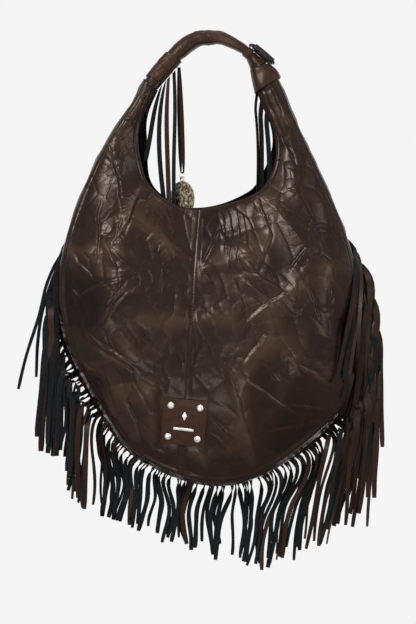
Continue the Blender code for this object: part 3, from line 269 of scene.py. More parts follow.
def metal(name, bright, tarnish, rough, stops=(0.42, 0.60), scale=240.0, relief=0.0,
          metallic=1.0):
    make = Shader(name)
    stain = make.noise(scale, 5.0, 0.6)
    make.link(make.ramp(stain, [(stops[0], tarnish), (stops[1], bright)]),
              make.surface.inputs["Base Color"])
    make.link(make.scaled(stain, 0.3, 0.7, rough + 0.2, rough), make.surface.inputs["Roughness"])
    make.set(Metallic=metallic)
    make.bumps((make.noise(900.0), 0.0002, 0.3 + relief))
    return make.material


brown = leather("brown_leather", (0.0016, 0.0008, 0.0005), (0.0108, 0.0050, 0.0031),
                (0.046, 0.026, 0.0175), (0.25, 0.38))
lace_brown = leather("lace_brown", (0.012, 0.0050, 0.0030), (0.0260, 0.0110, 0.0066),
                     (0.050, 0.025, 0.016), (0.38, 0.52), 0.06, 0.15)
strap_brown = leather("strap_brown", (0.0050, 0.0024, 0.0016), (0.0190, 0.0086, 0.0052),
                      (0.050, 0.029, 0.020), (0.32, 0.46), 0.10, 0.35)
charcoal = suede("charcoal_suede", (0.0035, 0.0037, 0.0041), (0.0105, 0.0120, 0.0135))
cloth = suede("black_cloth", (0.0030, 0.0030, 0.0033), (0.0075, 0.0075, 0.008))
silver = metal("silver", (0.80, 0.78, 0.74), (0.45, 0.43, 0.40), 0.16)
gunmetal = metal("gunmetal", (0.035, 0.034, 0.036), (0.012, 0.012, 0.013), 0.28)
thread = suede("brown_thread", (0.014, 0.007, 0.005), (0.050, 0.029, 0.021))
print("materials:", len(bpy.data.materials))

# %% [markdown]
# ## Helpers for meshes
# `alone` selects one object. `sheet_from` turns a solid CAD panel back into the open
# sheet of its outer face, so that it can be subdivided finely.

# %% Helpers
LEATHER = 0.0014
SMALLEST_SHEET = 0.002
SEED = 11
dice = random.Random(SEED)
noise.seed_set(SEED)


def alone(thing):
    bpy.ops.object.select_all(action="DESELECT")
    thing.select_set(True)
    bpy.context.view_layer.objects.active = thing
    return thing


def apply_all(thing):
    alone(thing)
    for modifier in list(thing.modifiers):
        bpy.ops.object.modifier_apply(modifier=modifier.name)
    return thing


def copy_of(node, name):
    thing = nodes[node].copy()
    thing.data = nodes[node].data.copy()
    thing.parent = None
    thing.matrix_world = Matrix.Identity(4)
    thing.name = name
    scene.collection.objects.link(thing)
    alone(thing)
    bpy.ops.object.mode_set(mode="EDIT")
    bpy.ops.mesh.select_all(action="SELECT")
    bpy.ops.mesh.remove_doubles(threshold=0.00001)
    bpy.ops.mesh.tris_convert_to_quads(face_threshold=1.2, shape_threshold=1.2)
    bpy.ops.object.mode_set(mode="OBJECT")
    return thing


def points_of(thing):
    flat = np.empty(len(thing.data.vertices) * 3)
    thing.data.vertices.foreach_get("co", flat)
    return flat.reshape(-1, 3)


def put_points(thing, points):
    thing.data.vertices.foreach_set("co", np.asarray(points, dtype=float).ravel())
    thing.data.update()


def normals_of(thing):
    flat = np.empty(len(thing.data.vertices) * 3)
    thing.data.vertices.foreach_get("normal", flat)
    return flat.reshape(-1, 3)


def dress(thing, body, slot, material, *replaced):
    """Material, body, slot (not used) and the CAD nodes that the piece stands for."""
    thing.data.materials.clear()
    thing.data.materials.append(material)
    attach(thing, body)
    if replaced:
        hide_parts(*replaced)
    alone(thing)
    bpy.ops.object.shade_smooth_by_angle(angle=math.radians(45))
    return thing


def area_of(part):
    return sum(face.area for face in part.data.polygons)


def away_from_middle(part):
    """How much the faces look away from the middle of the bag, times their area."""
    if area_of(part) < SMALLEST_SHEET:
        return -1e9
    total = 0.0
    for face in part.data.polygons:
        out = face.center - Vector((face.center.x * 0.75, 0.0, face.center.z * 0.75 - 0.08))
        total += face.area * face.normal.dot(out.normalized())
    return total


def sheet_from(node, levels):
    """The outer sheet of a solid panel, finely subdivided."""
    name = "visual_" + node
    thing = copy_of(node, name)
    mesh = thing.data
    co = points_of(thing)
    for face in mesh.polygons:
        lengths = [np.linalg.norm(co[a] - co[b]) for a, b in face.edge_keys]
        face.select = any(abs(length - LEATHER) < 0.06 * LEATHER for length in lengths)
    for items in (mesh.vertices, mesh.edges):
        items.foreach_set("select", [False] * len(items))
    bpy.ops.object.mode_set(mode="EDIT")
    bpy.ops.mesh.select_mode(type="FACE")
    bpy.ops.mesh.delete(type="ONLY_FACE")
    bpy.ops.mesh.select_all(action="SELECT")
    bpy.ops.mesh.delete_loose()
    bpy.ops.mesh.separate(type="LOOSE")
    bpy.ops.object.mode_set(mode="OBJECT")
    parts = list(bpy.context.selected_objects)
    best = max(parts, key=away_from_middle)
    for part in parts:
        if part is not best:
            bpy.data.objects.remove(part)
    best.name = name
    smooth = best.modifiers.new("smooth", "SUBSURF")
    smooth.levels = smooth.render_levels = levels
    smooth.boundary_smooth = "PRESERVE_CORNERS"
    apply_all(best)
    return best


# %% [markdown]
# ## Creases of the leather
# The leather looks crumpled. Each long crease is a stroke drawn on the picture grid,
# with a sharp ridge on one side and a hollow on the other. Seeded noise adds smaller
# ones in between. The leather stays flat under the patch.

# %% Creases
STRONG = [
    [(94, 330), (104, 317), (117, 301), (134, 282), (138, 279)], [(99, 332), (120, 305), (138, 286)],
    [(123, 272), (134, 270), (141, 275), (142, 282)], [(104, 237), (114, 254), (121, 270)],
    [(142, 190), (131, 214), (123, 237)], [(147, 186), (132, 214), (117, 243)],
    [(80, 333), (111, 355), (140, 373)], [(84, 330), (112, 350), (141, 367)],
    [(111, 386), (135, 381)], [(133, 386), (128, 399), (136, 420), (141, 447)],
    [(144, 379), (163, 393)], [(110, 141), (114, 165), (120, 188), (123, 211)],
    [(204, 270), (219, 232), (226, 245)], [(204, 272), (212, 282)],
    [(259, 199), (265, 216), (269, 236), (257, 269)], [(246, 263), (261, 278), (282, 293)],
    [(248, 320), (269, 305), (282, 296), (295, 305)], [(289, 270), (306, 250)],
    [(301, 269), (314, 255)], [(301, 282), (313, 303), (317, 320)],
    [(301, 206), (313, 228), (321, 249)], [(262, 98), (280, 131), (291, 155), (297, 181)],
    [(244, 364), (265, 335), (299, 337)], [(226, 362), (248, 382), (280, 403), (301, 415)],
    [(230, 371), (237, 397), (242, 417), (255, 456), (256, 476)],
    [(285, 349), (294, 368), (303, 380)], [(294, 363), (315, 374), (331, 384)],
    [(269, 430), (300, 424)], [(247, 282), (269, 301)], [(66, 285), (80, 297), (98, 288), (125, 282)],
    [(70, 241), (80, 262), (94, 278)], [(102, 203), (98, 219), (100, 237), (101, 259)],
]
FINE = [
    [(114, 250), (131, 265), (141, 268)], [(162, 233), (170, 246), (173, 257)],
    [(163, 235), (180, 250), (193, 260)], [(167, 214), (172, 223), (173, 231)],
    [(148, 241), (157, 231), (161, 221)], [(120, 193), (123, 209)], [(121, 216), (117, 241)],
    [(80, 297), (96, 285)], [(150, 270), (156, 292)], [(162, 270), (162, 292)],
    [(120, 306), (145, 305)], [(124, 151), (120, 170)], [(125, 120), (137, 130)],
    [(166, 336), (173, 352), (181, 364)], [(142, 333), (161, 350), (168, 360)],
    [(143, 393), (152, 411), (162, 414)], [(152, 446), (167, 452)], [(121, 332), (135, 347)],
    [(204, 272), (214, 263)], [(227, 212), (231, 234), (230, 265)], [(222, 215), (225, 250)],
    [(236, 214), (238, 240), (236, 262)], [(242, 216), (246, 250)], [(234, 211), (248, 221)],
    [(242, 256), (259, 259)], [(294, 280), (294, 297)], [(293, 321), (307, 301)],
    [(315, 255), (327, 270), (333, 286)], [(325, 288), (329, 312)], [(295, 182), (304, 197), (324, 203)],
    [(198, 283), (219, 296)], [(197, 305), (219, 320)], [(235, 283), (243, 313)],
    [(269, 370), (275, 378), (288, 384)], [(312, 345), (307, 369)], [(287, 403), (322, 408)],
    [(307, 403), (303, 428)], [(209, 415), (228, 431)], [(208, 430), (221, 438), (236, 455)],
    [(310, 418), (327, 425)], [(86, 360), (100, 372)], [(150, 440), (160, 462)],
    [(151, 92), (146, 112)], [(155, 93), (151, 120)], [(159, 95), (154, 114)], [(146, 96), (138, 116)],
    [(162, 97), (159, 116)], [(142, 103), (132, 124)], [(262, 90), (268, 112)], [(268, 88), (280, 116)],
]
PATCH_CENTRE = (185.0, 418.0)
PATCH_HALF = 0.030
GENTLE = 3.0


def stroke_height(x, z, stroke, width):
    """A fold along one stroke: steep with a hollow on one side, gentle on the other."""
    line = np.array([on_grid(*point) for point in stroke])
    lengths = np.linalg.norm(np.diff(line, axis=0), axis=1)
    whole = lengths.sum()
    best = np.full(len(x), 9.0)
    signed = np.zeros(len(x))
    along = np.zeros(len(x))
    run = 0.0
    for a, b, length in zip(line, line[1:], lengths):
        step = (b - a) / length
        t = np.clip((x - a[0]) * step[0] + (z - a[1]) * step[1], 0.0, length)
        off_x = x - a[0] - step[0] * t
        off_z = z - a[1] - step[1] * t
        gap = np.hypot(off_x, off_z)
        nearer = gap < best
        best = np.where(nearer, gap, best)
        side = np.sign(step[0] * off_z - step[1] * off_x)
        signed = np.where(nearer, gap * side, signed)
        along = np.where(nearer, (run + t) / whole, along)
        run += length
    fade = np.sin(np.pi * np.clip(along, 0.04, 0.96)) ** 0.5
    crest = np.hypot(best, 0.35 * width) - 0.35 * width
    ridge = np.exp(-crest / np.where(signed > 0, 0.8 * width, GENTLE * width))
    hollow = np.exp(-((signed - 1.6 * width) / width) ** 2) * (best < 4 * width)
    return fade * (ridge - 0.55 * hollow)


def ridged(points, size, seed):
    """Sharp-edged noise between -1 and 1, with features of the given size."""
    values = np.empty(len(points))
    for index, (x, y, z) in enumerate(points):
        values[index] = noise.noise(Vector((x / size + seed, y / size, z / size - seed)))
    return 1.0 - 3.2 * np.abs(values)


def facets(points, size, seed):
    """Flat patches that meet in sharp creases, like paper that was crumpled and smoothed."""
    values = np.empty(len(points))
    for index, (x, y, z) in enumerate(points):
        near = noise.voronoi(Vector((x / size + seed, y / size, z / size - seed)))[0]
        values[index] = near[1] - near[0]
    return -np.exp(-values / 0.10)


def crumple(points):
    """Height of the creases at points of the bag's face, in metres."""
    x = points[:, 0]
    z = points[:, 2]
    warp = np.array([noise.noise_vector(Vector(p) * 22.0) * 0.004
                     + noise.noise_vector(Vector(p) * 90.0) * 0.0011 for p in points])
    wx = x + warp[:, 0]
    wz = z + warp[:, 2]
    uneven = 0.75 + 0.25 * ridged(points, 0.016, 12.0)
    total = np.zeros(len(points))
    for stroke in STRONG:
        total += 0.00175 * uneven * stroke_height(wx, wz, stroke, 0.0017)
    for stroke in FINE:
        total += 0.00105 * uneven * stroke_height(wx, wz, stroke, 0.0012)
    skewed = np.stack([x + 0.5 * z, points[:, 1], z - 0.35 * x], axis=1)
    total += 0.0024 * (ridged(points, 0.120, 5.0) - 0.3)
    total += 0.0011 * ridged(skewed, 0.060, 3.0)
    patches = np.clip(1.5 * ridged(points, 0.070, 7.0), 0.0, 1.0)
    total += 0.0006 * facets(skewed * (1.0, 1.0, 0.6) + warp, 0.030, 4.0)
    total += 0.0004 * patches * facets(skewed * (0.6, 1.0, 1.3) - warp, 0.014, 9.0)
    patch_x, patch_z = on_grid(*PATCH_CENTRE)
    reach = np.maximum(np.abs(x - patch_x), np.abs(z - patch_z)) - PATCH_HALF
    total *= np.clip(reach / 0.010, 0.0, 1.0)
    return total


# %% [markdown]
# ## Panels of the body
# Both front panels, the gusset and the back panel are sheets. After the creases are
# pressed in, a rim gives them the thickness of leather along their edges.

# %% Panels
SEAM_GAP = 0.00025
SEAM_REACH = 0.009
EDGE_FADE = 0.008
GROOVE_DEPTH = 0.0006
GROOVE_PLACE = 0.0055
SEAM = [(199, 205), (193.7, 251), (191.6, 305), (192.6, 335), (189.6, 355), (186.5, 393),
        (181.4, 442), (180.4, 480)]


def press(thing, height, normal):
    """Moves points along their normals and keeps the height for the colour: low heights get painted shade,
    high ones painted highlight with wear.
    """
    put_points(thing, points_of(thing) + normal * height[:, None])
    # Height for the colour: painted shade in the hollows, painted highlight with wear on the ridges.
    ridge = thing.data.attributes.new("ridge", "FLOAT", "POINT")
    ridge.data.foreach_set("value", np.clip(0.47 + height / 0.0065, 0.0, 1.0))


def finish_sheet(thing):
    rim = thing.modifiers.new("rim", "SOLIDIFY")
    rim.thickness = LEATHER
    rim.offset = -1.0
    rim.use_rim_only = True
    apply_all(thing)


def edge_distance(thing):
    """Distance of each point from the sheet's open edge."""
    alone(thing)
    use = {}
    for face in thing.data.polygons:
        for key in face.edge_keys:
            use[key] = use.get(key, 0) + 1
    rim = sorted({index for key, count in use.items() if count == 1 for index in key})
    co = points_of(thing)
    border = co[rim]
    gap = np.empty(len(co))
    for start in range(0, len(co), 2000):
        part = co[start:start + 2000]
        apart = np.sqrt(((part[:, None, :] - border[None, :, :]) ** 2).sum(axis=2))
        gap[start:start + 2000] = apart.min(axis=1)
    return gap


def seam_at(z):
    """X of the centre seam at a height."""
    line = [on_grid(*point) for point in reversed(SEAM)]
    return np.interp(z, [spot[1] for spot in line], [spot[0] for spot in line])


panels = []
for node in ("front_panel_left", "front_panel_right"):
    panel = sheet_from(node, 4)
    points = points_of(panel)
    height = crumple(points)
    gap = edge_distance(panel)
    seam_gap = np.abs(points[:, 0] - seam_at(points[:, 2]))
    on_seam = seam_gap < SEAM_REACH
    height *= np.where(on_seam, 1.0, np.clip(gap / EDGE_FADE, 0.15, 1.0))
    groove = GROOVE_DEPTH * np.exp(-((gap - GROOVE_PLACE) / 0.0011) ** 2)
    height -= np.where(on_seam, 0.0, groove)
    height *= np.where(on_seam, np.clip(gap / 0.007, 0.0, 1.0) ** 2, 1.0)
    height -= 0.0003 * np.exp(-(gap / 0.0009) ** 2)
    toward = SEAM_GAP if node.endswith("left") else -SEAM_GAP
    points[:, 0] += np.where(on_seam, toward * np.exp(-(gap / 0.002) ** 2), 0.0)
    normals = normals_of(panel)
    put_points(panel, points)
    press(panel, height, normals)
    finish_sheet(panel)
    panels.append(dress(panel, "root", node, brown, node))

# Spots on the rear edge of the mouth: place, shift and size.
REAR_EDGE = [((-0.092, -0.120), (0.011, 0.003), 0.045),
             ((0.070, -0.165), (-0.007, 0.007), 0.040)]


def rear_edge_in(points):
    """The rear edge of the mouth stands further in, so that the lining shows there."""
    shift = np.zeros_like(points)
    for (x, z), (dx, dz), size in REAR_EDGE:
        near = np.hypot(points[:, 0] - x, points[:, 2] - z)
        share = np.exp(-(near / size) ** 2) * np.clip(points[:, 1] / 0.012, 0.0, 1.0)
        shift[:, 0] += dx * share
        shift[:, 2] += dz * share
    return points + shift


for node in ("gusset", "back_panel"):
    panel = sheet_from(node, 3)
    if node == "back_panel":
        put_points(panel, rear_edge_in(points_of(panel)))
    points = points_of(panel)
    height = 0.0011 * ridged(points, 0.050, 5.0) + 0.0005 * ridged(points, 0.021, 2.0)
    height *= np.clip(edge_distance(panel) / EDGE_FADE, 0.1, 1.0)
    press(panel, height, normals_of(panel))
    finish_sheet(panel)
    panels.append(dress(panel, "root", node, brown, node))
print("faces in the panels:", sum(len(panel.data.polygons) for panel in panels))

# %% [markdown]
# ## Fringe
# Each strip leaves the seam outwards, bends down under its own weight and hangs, a
# little slanted, waved and twisted. One face is brown leather, the other is suede.

# %% Strips of leather
STRIP_THICKNESS = 0.0011


def ribbons(name, strips, faces, thickness=STRIP_THICKNESS):
    """Strips as one piece. Each has centres, directions across and widths."""
    points = []
    quads = []
    for centres, sides, widths in strips:
        base = len(points)
        for centre, side, width in zip(centres, sides, widths):
            points += [centre - side * (width / 2), centre + side * (width / 2)]
        for row in range(len(centres) - 1):
            a = base + 2 * row
            quads.append((a, a + 1, a + 3, a + 2))
    mesh = bpy.data.meshes.new(name)
    mesh.from_pydata(points, [], quads)
    thing = bpy.data.objects.new(name, mesh)
    scene.collection.objects.link(thing)
    for material in faces:
        mesh.materials.append(material)
    body = thing.modifiers.new("thickness", "SOLIDIFY")
    body.thickness = thickness
    body.offset = 0.0
    body.material_offset = 1
    body.material_offset_rim = 1
    apply_all(thing)
    bpy.ops.object.shade_smooth_by_angle(angle=math.radians(50))
    return thing


def smooth_line(points, count):
    """Even points on a smooth curve through a few given ones."""
    rows = np.array([tuple(point) for point in points])
    gaps = np.linalg.norm(np.diff(rows, axis=0), axis=1)
    place = np.concatenate([[0.0], np.cumsum(gaps)])
    slopes = np.diff(rows, axis=0) / gaps[:, None]
    tangents = np.vstack([slopes[:1], slopes[:-1] * gaps[1:, None] + slopes[1:] * gaps[:-1, None],
                          slopes[-1:]])
    tangents[1:-1] /= (gaps[1:] + gaps[:-1])[:, None]
    line = []
    for spot in np.linspace(0.0, place[-1], count):
        index = min(int(np.searchsorted(place, spot, side="right")) - 1, len(gaps) - 1)
        gap = gaps[index]
        t = (spot - place[index]) / gap
        line.append(Vector((1 + 2 * t) * (1 - t) ** 2 * rows[index]
                           + t * (1 - t) ** 2 * gap * tangents[index]
                           + t * t * (3 - 2 * t) * rows[index + 1]
                           + t * t * (t - 1) * gap * tangents[index + 1]))
    return line


def across(centres, turns):
    """Directions across a strip, turned about its run by the given angles."""
    sides = []
    last = len(centres) - 1
    for index, turn in enumerate(turns):
        run = (centres[min(index + 1, last)] - centres[max(index - 1, 0)]).normalized()
        flat = Vector((0.0, 1.0, 0.0)).cross(run)
        if flat.length < 0.05:
            flat = Vector((1.0, 0.0, 0.0))
        sides.append(Matrix.Rotation(turn, 3, run) @ flat.normalized())
    return sides


# %% Paths of the strips
def strips_of(node):
    """Centre lines of a band's strips, from root to tip, found from the ends of the strips."""
    band = copy_of(node, "guide")
    co = points_of(band)
    near = [set() for _ in co]
    for edge in band.data.edges:
        near[edge.vertices[0]].add(edge.vertices[1])
        near[edge.vertices[1]].add(edge.vertices[0])
    found = []
    for face in band.data.polygons:
        ring = list(face.vertices)
        sizes = sorted(np.linalg.norm(co[a] - co[b]) for a, b in face.edge_keys)
        if len(ring) != 4 or sizes[1] > 0.0014 or not 0.0060 < sizes[3] < 0.0068:
            continue
        line = []
        known = set()
        while len(ring) == 4:
            line.append(Vector(co[ring].mean(axis=0)))
            known |= set(ring)
            ring = list(set().union(*(near[vert] for vert in ring)) - known)
        if len(line) > 2:
            found.append(line[::-1])
    bpy.data.objects.remove(band)
    return sorted(found, key=lambda line: math.atan2(line[0].x, -0.33 - line[0].z))


guides = strips_of("fringe_band")
print("strips in the band:", len(guides), "shortest", min(len(line) for line in guides))

# %% Fringe round the bag
ROWS = 20
SIDE_BEGINS = 0.78


def brown_share(x, z):
    """How many of the strips at a spot show their brown face."""
    if x > 0.10:
        return 0.85 if z > -0.50 else 0.55
    return 0.25 if x < -0.10 else 0.18


def cut_strip(guide, width, shift, lift, share, wave):
    """One cut strip along a guide, moved aside and forward, waved and twisted."""
    points = []
    for number, point in enumerate(guide):
        down = number / (len(guide) - 1)
        points.append(point + Vector((shift * down ** 0.7, -lift * min(1.0, down * 3.0), 0.0)))
    tip = points[-1]
    points[-1] = points[-2].lerp(tip, share)
    centres = smooth_line(points, ROWS)
    phase = dice.uniform(0.0, 6.3)
    pace = dice.uniform(26.0, 60.0)
    run = 0.0
    for number in range(1, ROWS):
        run += (centres[number] - centres[number - 1]).length
        swing = wave * min(1.0, run / 0.06)
        centres[number] = centres[number] + Vector((swing * math.sin(run * pace + phase),
                                                    0.4 * swing * math.cos(run * pace * 0.7 + phase), 0.0))
    brown_side = dice.random() < brown_share(points[0].x, points[0].z)
    turn = (0.0 if brown_side else math.pi) + dice.uniform(-0.5, 0.5)
    twist = dice.uniform(-1.0, 1.0)
    turns = [(turn + twist * row / ROWS) * min(1.0, row / 5) for row in range(ROWS)]
    widths = [width * (1.0 + 0.06 * math.sin(row * 0.9 + phase)) for row in range(ROWS)]
    widths[-1] *= 0.8
    return centres, across(centres, turns), widths


def sideways(guide):
    """Share of a strip's first step that goes to the side."""
    return abs(guide[1].x - guide[0].x) / (guide[1] - guide[0]).length


strips = []
bottom = [guide for guide in guides if sideways(guide) < SIDE_BEGINS]
for number, guide in enumerate(bottom):
    strips.append(cut_strip(guide, dice.uniform(0.0048, 0.0064), 0.0, 0.0, 1.0,
                            dice.uniform(0.0008, 0.0030)))
    following = bottom[min(number + 1, len(bottom) - 1)]
    if len(following) == len(guide) and number % 4 != 3:
        between = [a.lerp(b, 0.5) for a, b in zip(guide, following)]
        strips.append(cut_strip(between, dice.uniform(0.0028, 0.0046), dice.uniform(-0.003, 0.003),
                                dice.uniform(-0.0025, 0.0020), dice.uniform(0.75, 1.0),
                                dice.uniform(0.0015, 0.0045)))

# %% Fringe at the sides
SPREAD = {1.0: [(246, 2), (262, 9), (275, 17), (330, 17), (400, 22), (440, 26)],
          -1.0: [(246, 2), (262, 4), (285, 8), (305, 10), (340, 11), (440, 11)]}
STRAYS = [[(57, 262), (47, 284), (39, 315), (27, 355), (19, 389)],
          [(51, 285), (43, 312), (38, 342), (36, 377)]]
face_points = np.concatenate([points_of(panel) for panel in panels])
panel_trees = [BVHTree.FromPolygons([v.co for v in panel.data.vertices],
                                    [tuple(face.vertices) for face in panel.data.polygons])
               for panel in panels[:2]]


def reach(side, z):
    """How far the body reaches to a side at a height."""
    near = face_points[np.abs(face_points[:, 2] - z) < 0.004]
    return float((near[:, 0] * side).max()) if len(near) else 0.0


def in_front(x, z, y, lift):
    """Y of a point that lies in front of the panels, or the given one beside them."""
    for tree in panel_trees:
        hit = tree.ray_cast(Vector((x, -1.0, z)), Vector((0.0, 1.0, 0.0)))[0]
        if hit:
            y = min(y, hit.y - lift)
    return y


def spread(side, z):
    """How far the strips stand off the outline at a height, from the picture grid."""
    rows = SPREAD[side]
    levels, widths = zip(*rows)
    return STEP * float(np.interp(GRID_Z - z / STEP, levels, widths))


def side_strip(guide, share, layer):
    """A strip that leaves the side seam, slopes out and falls; low shares lie over the front."""
    root = guide[0]
    side = math.copysign(1.0, root.x)
    edge = reach(side, root.z)
    fall = 0.012 + 0.016 * share
    out = edge + 0.002 + share * spread(side, root.z - fall)
    length = min(dice.uniform(0.155, 0.205), root.z - guide[-1].z + (0.03 if side > 0 else 0.005))
    inward = (0.034 if side > 0 else 0.004) * (1.0 - share) + dice.uniform(-0.006, 0.006)
    if side < 0:
        inward -= 0.012 * share
    lift = 0.0030 + 0.0014 * layer
    base = -0.008 - 0.0016 * layer
    rows = [(0.5 * (edge + out) + 0.001, root.z - 0.4 * fall, 0.5 * root.y),
            (out, root.z - fall - 0.006, base), (out - 0.25 * inward, root.z - 0.45 * length, base),
            (out - 0.65 * inward, root.z - 0.75 * length, base), (out - inward, root.z - length, base)]
    line = [root]
    for x, z, y in rows:
        y = in_front(side * x, z, y, lift)
        line.append(Vector((side * x, y, z)))
    return cut_strip(line, dice.uniform(0.0054, 0.0078), 0.0, 0.0, 1.0,
                     dice.uniform(0.0003, 0.0012))


beside = [guide for guide in guides if sideways(guide) >= SIDE_BEGINS]
beside.sort(key=lambda guide: guide[0].z)
for number, guide in enumerate(beside):
    share = (number * 0.618) % 1.0
    strips.append(side_strip(guide, share, number % 5))
    if number % 2:
        strips.append(side_strip(guide, 0.8 * dice.random(), (number + 2) % 5))

top_left = max((guide for guide in beside if guide[0].x < 0), key=lambda guide: guide[0].z)
for stray in STRAYS:
    line = [top_left[0]] + [Vector((x, -0.004, z)) for x, z in (on_grid(*spot) for spot in stray)]
    strips.append(cut_strip(line, 0.0042, 0.0, 0.0, 1.0, 0.0006))

header = []
for guide in guides:
    step = guide[1] - guide[0]
    width = 0.0085 + 0.0045 * min(1.0, max(0.0, abs(guide[0].x) - 0.07) / 0.06)
    width *= 1.0 - 0.75 * np.clip((guide[0].z + 0.31) / 0.05, 0.0, 1.0)
    header.append((guide[0] + step.normalized() * (0.45 * width - 0.001), step.normalized(), width))
strips.append(tuple(zip(*header)))
fringe = ribbons("visual_fringe", strips, (lace_brown, charcoal))
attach(fringe, "root")
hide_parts("fringe_band")
print("strips:", len(strips), "faces:", len(fringe.data.polygons))

# %% [markdown]
# ## Stitches
# The centre seam is closed with a zigzag stitch. A plain row of stitches runs just inside
# the mouth. Each stitch is a thin ribbon that lies on the leather.

# %% Stitches
THREAD = 0.0008
ZIGZAG_STEP = 1.55
ZIGZAG_HALF = 0.0014
MOUTH = [(139, 134), (138, 150), (144.5, 170), (155, 187), (168, 199.5), (185, 207.5),
         (200, 210.5), (216, 210.5), (233, 206.5), (252, 198), (265, 188), (275, 173),
         (279, 155), (278, 135)]


def stitch_row(spots, gap=0.0):
    """Ribbons of thread through spots on the front; a gap splits them into dashes."""
    rows = []
    for first, second in zip(spots, spots[1:]):
        ends = [Vector((x, in_front(x, z, 1.0, 0.0008), z)) for x, z in (first, second)]
        if max(end.y for end in ends) > 0.5:
            continue
        run = ends[1] - ends[0]
        start = ends[0] + run * gap
        middle = ends[0] + run * 0.5 - Vector((0.0, 0.0003, 0.0))
        side = run.cross(Vector((0.0, 1.0, 0.0))).normalized()
        rows.append(([start, middle, ends[1] - run * gap], [side] * 3, [THREAD] * 3))
    return rows


def zigzag(first, count):
    """Spots left and right of the centre seam in turn, from a height of the grid down."""
    spots = []
    for number in range(count):
        z = on_grid(0, first + ZIGZAG_STEP * number)[1]
        spots.append((seam_at(z) + (ZIGZAG_HALF if number % 2 else -ZIGZAG_HALF), z))
    return spots


rows = stitch_row(zigzag(212, 118)) + stitch_row(zigzag(448, 18))
hem = smooth_line([Vector((*on_grid(x, z), 0.0)) for x, z in MOUTH], 150)
rows += stitch_row([(spot.x, spot.y) for spot in hem], 0.2)
stitches = ribbons("seam_stitches", rows, (thread, thread), 0.0004)
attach(stitches, "root")
print("stitches:", len(rows))

# %% [markdown]
# ## Handle, wrap and tassels
# Straps are the CAD tubes, made finer and creased. Bands and strips get rounded edges
# from a narrow bevel before they are smoothed.


# %% Handle
def rounded(node, body, material, edge=0.0004, levels=2, angle=35):
    """A copy of a node with its sharp edges rounded and its long curves smoothed."""
    thing = copy_of(node, "visual_" + node)
    if edge:
        bevel = thing.modifiers.new("edge", "BEVEL")
        bevel.width = edge
        bevel.segments = 2
        bevel.limit_method = "ANGLE"
        bevel.angle_limit = math.radians(angle)
    smooth = thing.modifiers.new("smooth", "SUBSURF")
    smooth.levels = smooth.render_levels = levels
    apply_all(thing)
    return dress(thing, body, node, material, node)


FOLD = [(208, 31), (218, 36), (228, 42), (240, 49), (250, 55)]
# Centre of a lighter spot on the right strap: partly wear, partly painted highlight.
WEAR_AND_HIGHLIGHT_SPOT = (226, 43)
for node in ("handle_strap_left", "handle_strap_right"):
    strap = rounded(node, "root", strap_brown, 0.0012, 3, 50)
    points = points_of(strap)
    side = 1.0 if node.endswith("right") else -1.0
    skewed = np.stack([points[:, 0] - side * 0.6 * points[:, 2], points[:, 1] * 0.6,
                       points[:, 2] * 0.4 + side * points[:, 0] * 0.4], axis=1)
    height = 0.0005 * ridged(skewed, 0.018, 4.0) + 0.00012 * ridged(skewed, 0.006, 9.0)
    if side > 0:
        height *= 0.45
        front = points[:, 1] < 0.002
        height += front * 0.0016 * stroke_height(points[:, 0], points[:, 2], FOLD, 0.0022)
    press(strap, np.clip(height, -0.0016, 0.0009), normals_of(strap))
    if side > 0:
        # The lighter spot on the right strap is partly wear and partly a painted highlight.
        spot_x, spot_z = on_grid(*WEAR_AND_HIGHLIGHT_SPOT)
        wear_and_highlight = np.exp(-((points[:, 0] - spot_x) / 0.013) ** 2
                      - ((points[:, 2] - spot_z) / 0.006) ** 2)
        level = np.clip(0.5 + height / 0.0055 + 0.55 * wear_and_highlight, 0.0, 1.0)
        strap.data.attributes["ridge"].data.foreach_set("value", level)
print("handle done")

# %% Wrap, tab and tassels
TUCK = 0.022
TUCK_UNDER_CUFF = (0.0065, 0.004, 0.0125)
for node in ("wrap_lace", "wrap_tab"):
    band = rounded(node, "root", lace_brown, 0.0005, 2)
    points = points_of(band)
    press(band, 0.00035 * ridged(points, 0.008, 6.0), normals_of(band))

# Material of the face towards the viewer and of the reverse: 0 is suede, 1 is brown.
TASSELS = [("tassel_left_1", 0, 1), ("tassel_left_2", 0, 0), ("tassel_left_3", 1, 0),
           ("tassel_left_4", 0, 1), ("tassel_right_1", 1, 0), ("tassel_right_2", 0, 0),
           ("tassel_right_3", 0, 1)]
for node, face, reverse in TASSELS:
    strip = rounded(node, "root", charcoal, 0.00025, 2)
    strip.data.materials.append(lace_brown)
    for polygon in strip.data.polygons:
        polygon.material_index = face if polygon.normal.y < 0 else reverse
    if "right" in node:
        points = points_of(strip)
        rise = np.clip((points[:, 2] - points[:, 2].max() + TUCK) / TUCK, 0.0, 1.0) ** 2
        put_points(strip, points + rise[:, None] * np.array(TUCK_UNDER_CUFF))
rounded("charm_loop", "root", lace_brown, 0.00025, 2)
print("wrap and tassels done")

# %% [markdown]
# ## Medal
# The medal hangs on a small ring. It is turned like a coin: a rim, a ring of beads and
# a rosette in the middle, all cast a little uneven.

# %% Ring and medal
coin_metal = metal("coin_metal", (0.62, 0.50, 0.34), (0.085, 0.062, 0.045), 0.32,
                   (0.46, 0.56), 260.0, 0.3, 0.55)
rounded("charm_ring", "ring", silver, 0.0, 1)
MEDAL_RADIUS = 0.024
LUG_DROP = 0.0039
solid_medal = points_of(nodes["charm_medal"])
from_above = solid_medal[:, :2]
turn_axis = np.linalg.svd(from_above - from_above.mean(axis=0))[2][0]
swing = Vector((turn_axis[0], turn_axis[1], 0.0)).normalized()
medal_centre = Vector((*from_above.mean(axis=0), solid_medal[:, 2].min() + MEDAL_RADIUS))
faces_out = Vector((-swing.y, swing.x, 0.0))
if faces_out.y > 0:
    faces_out = -faces_out
RINGS = 46
SPOKES = 144


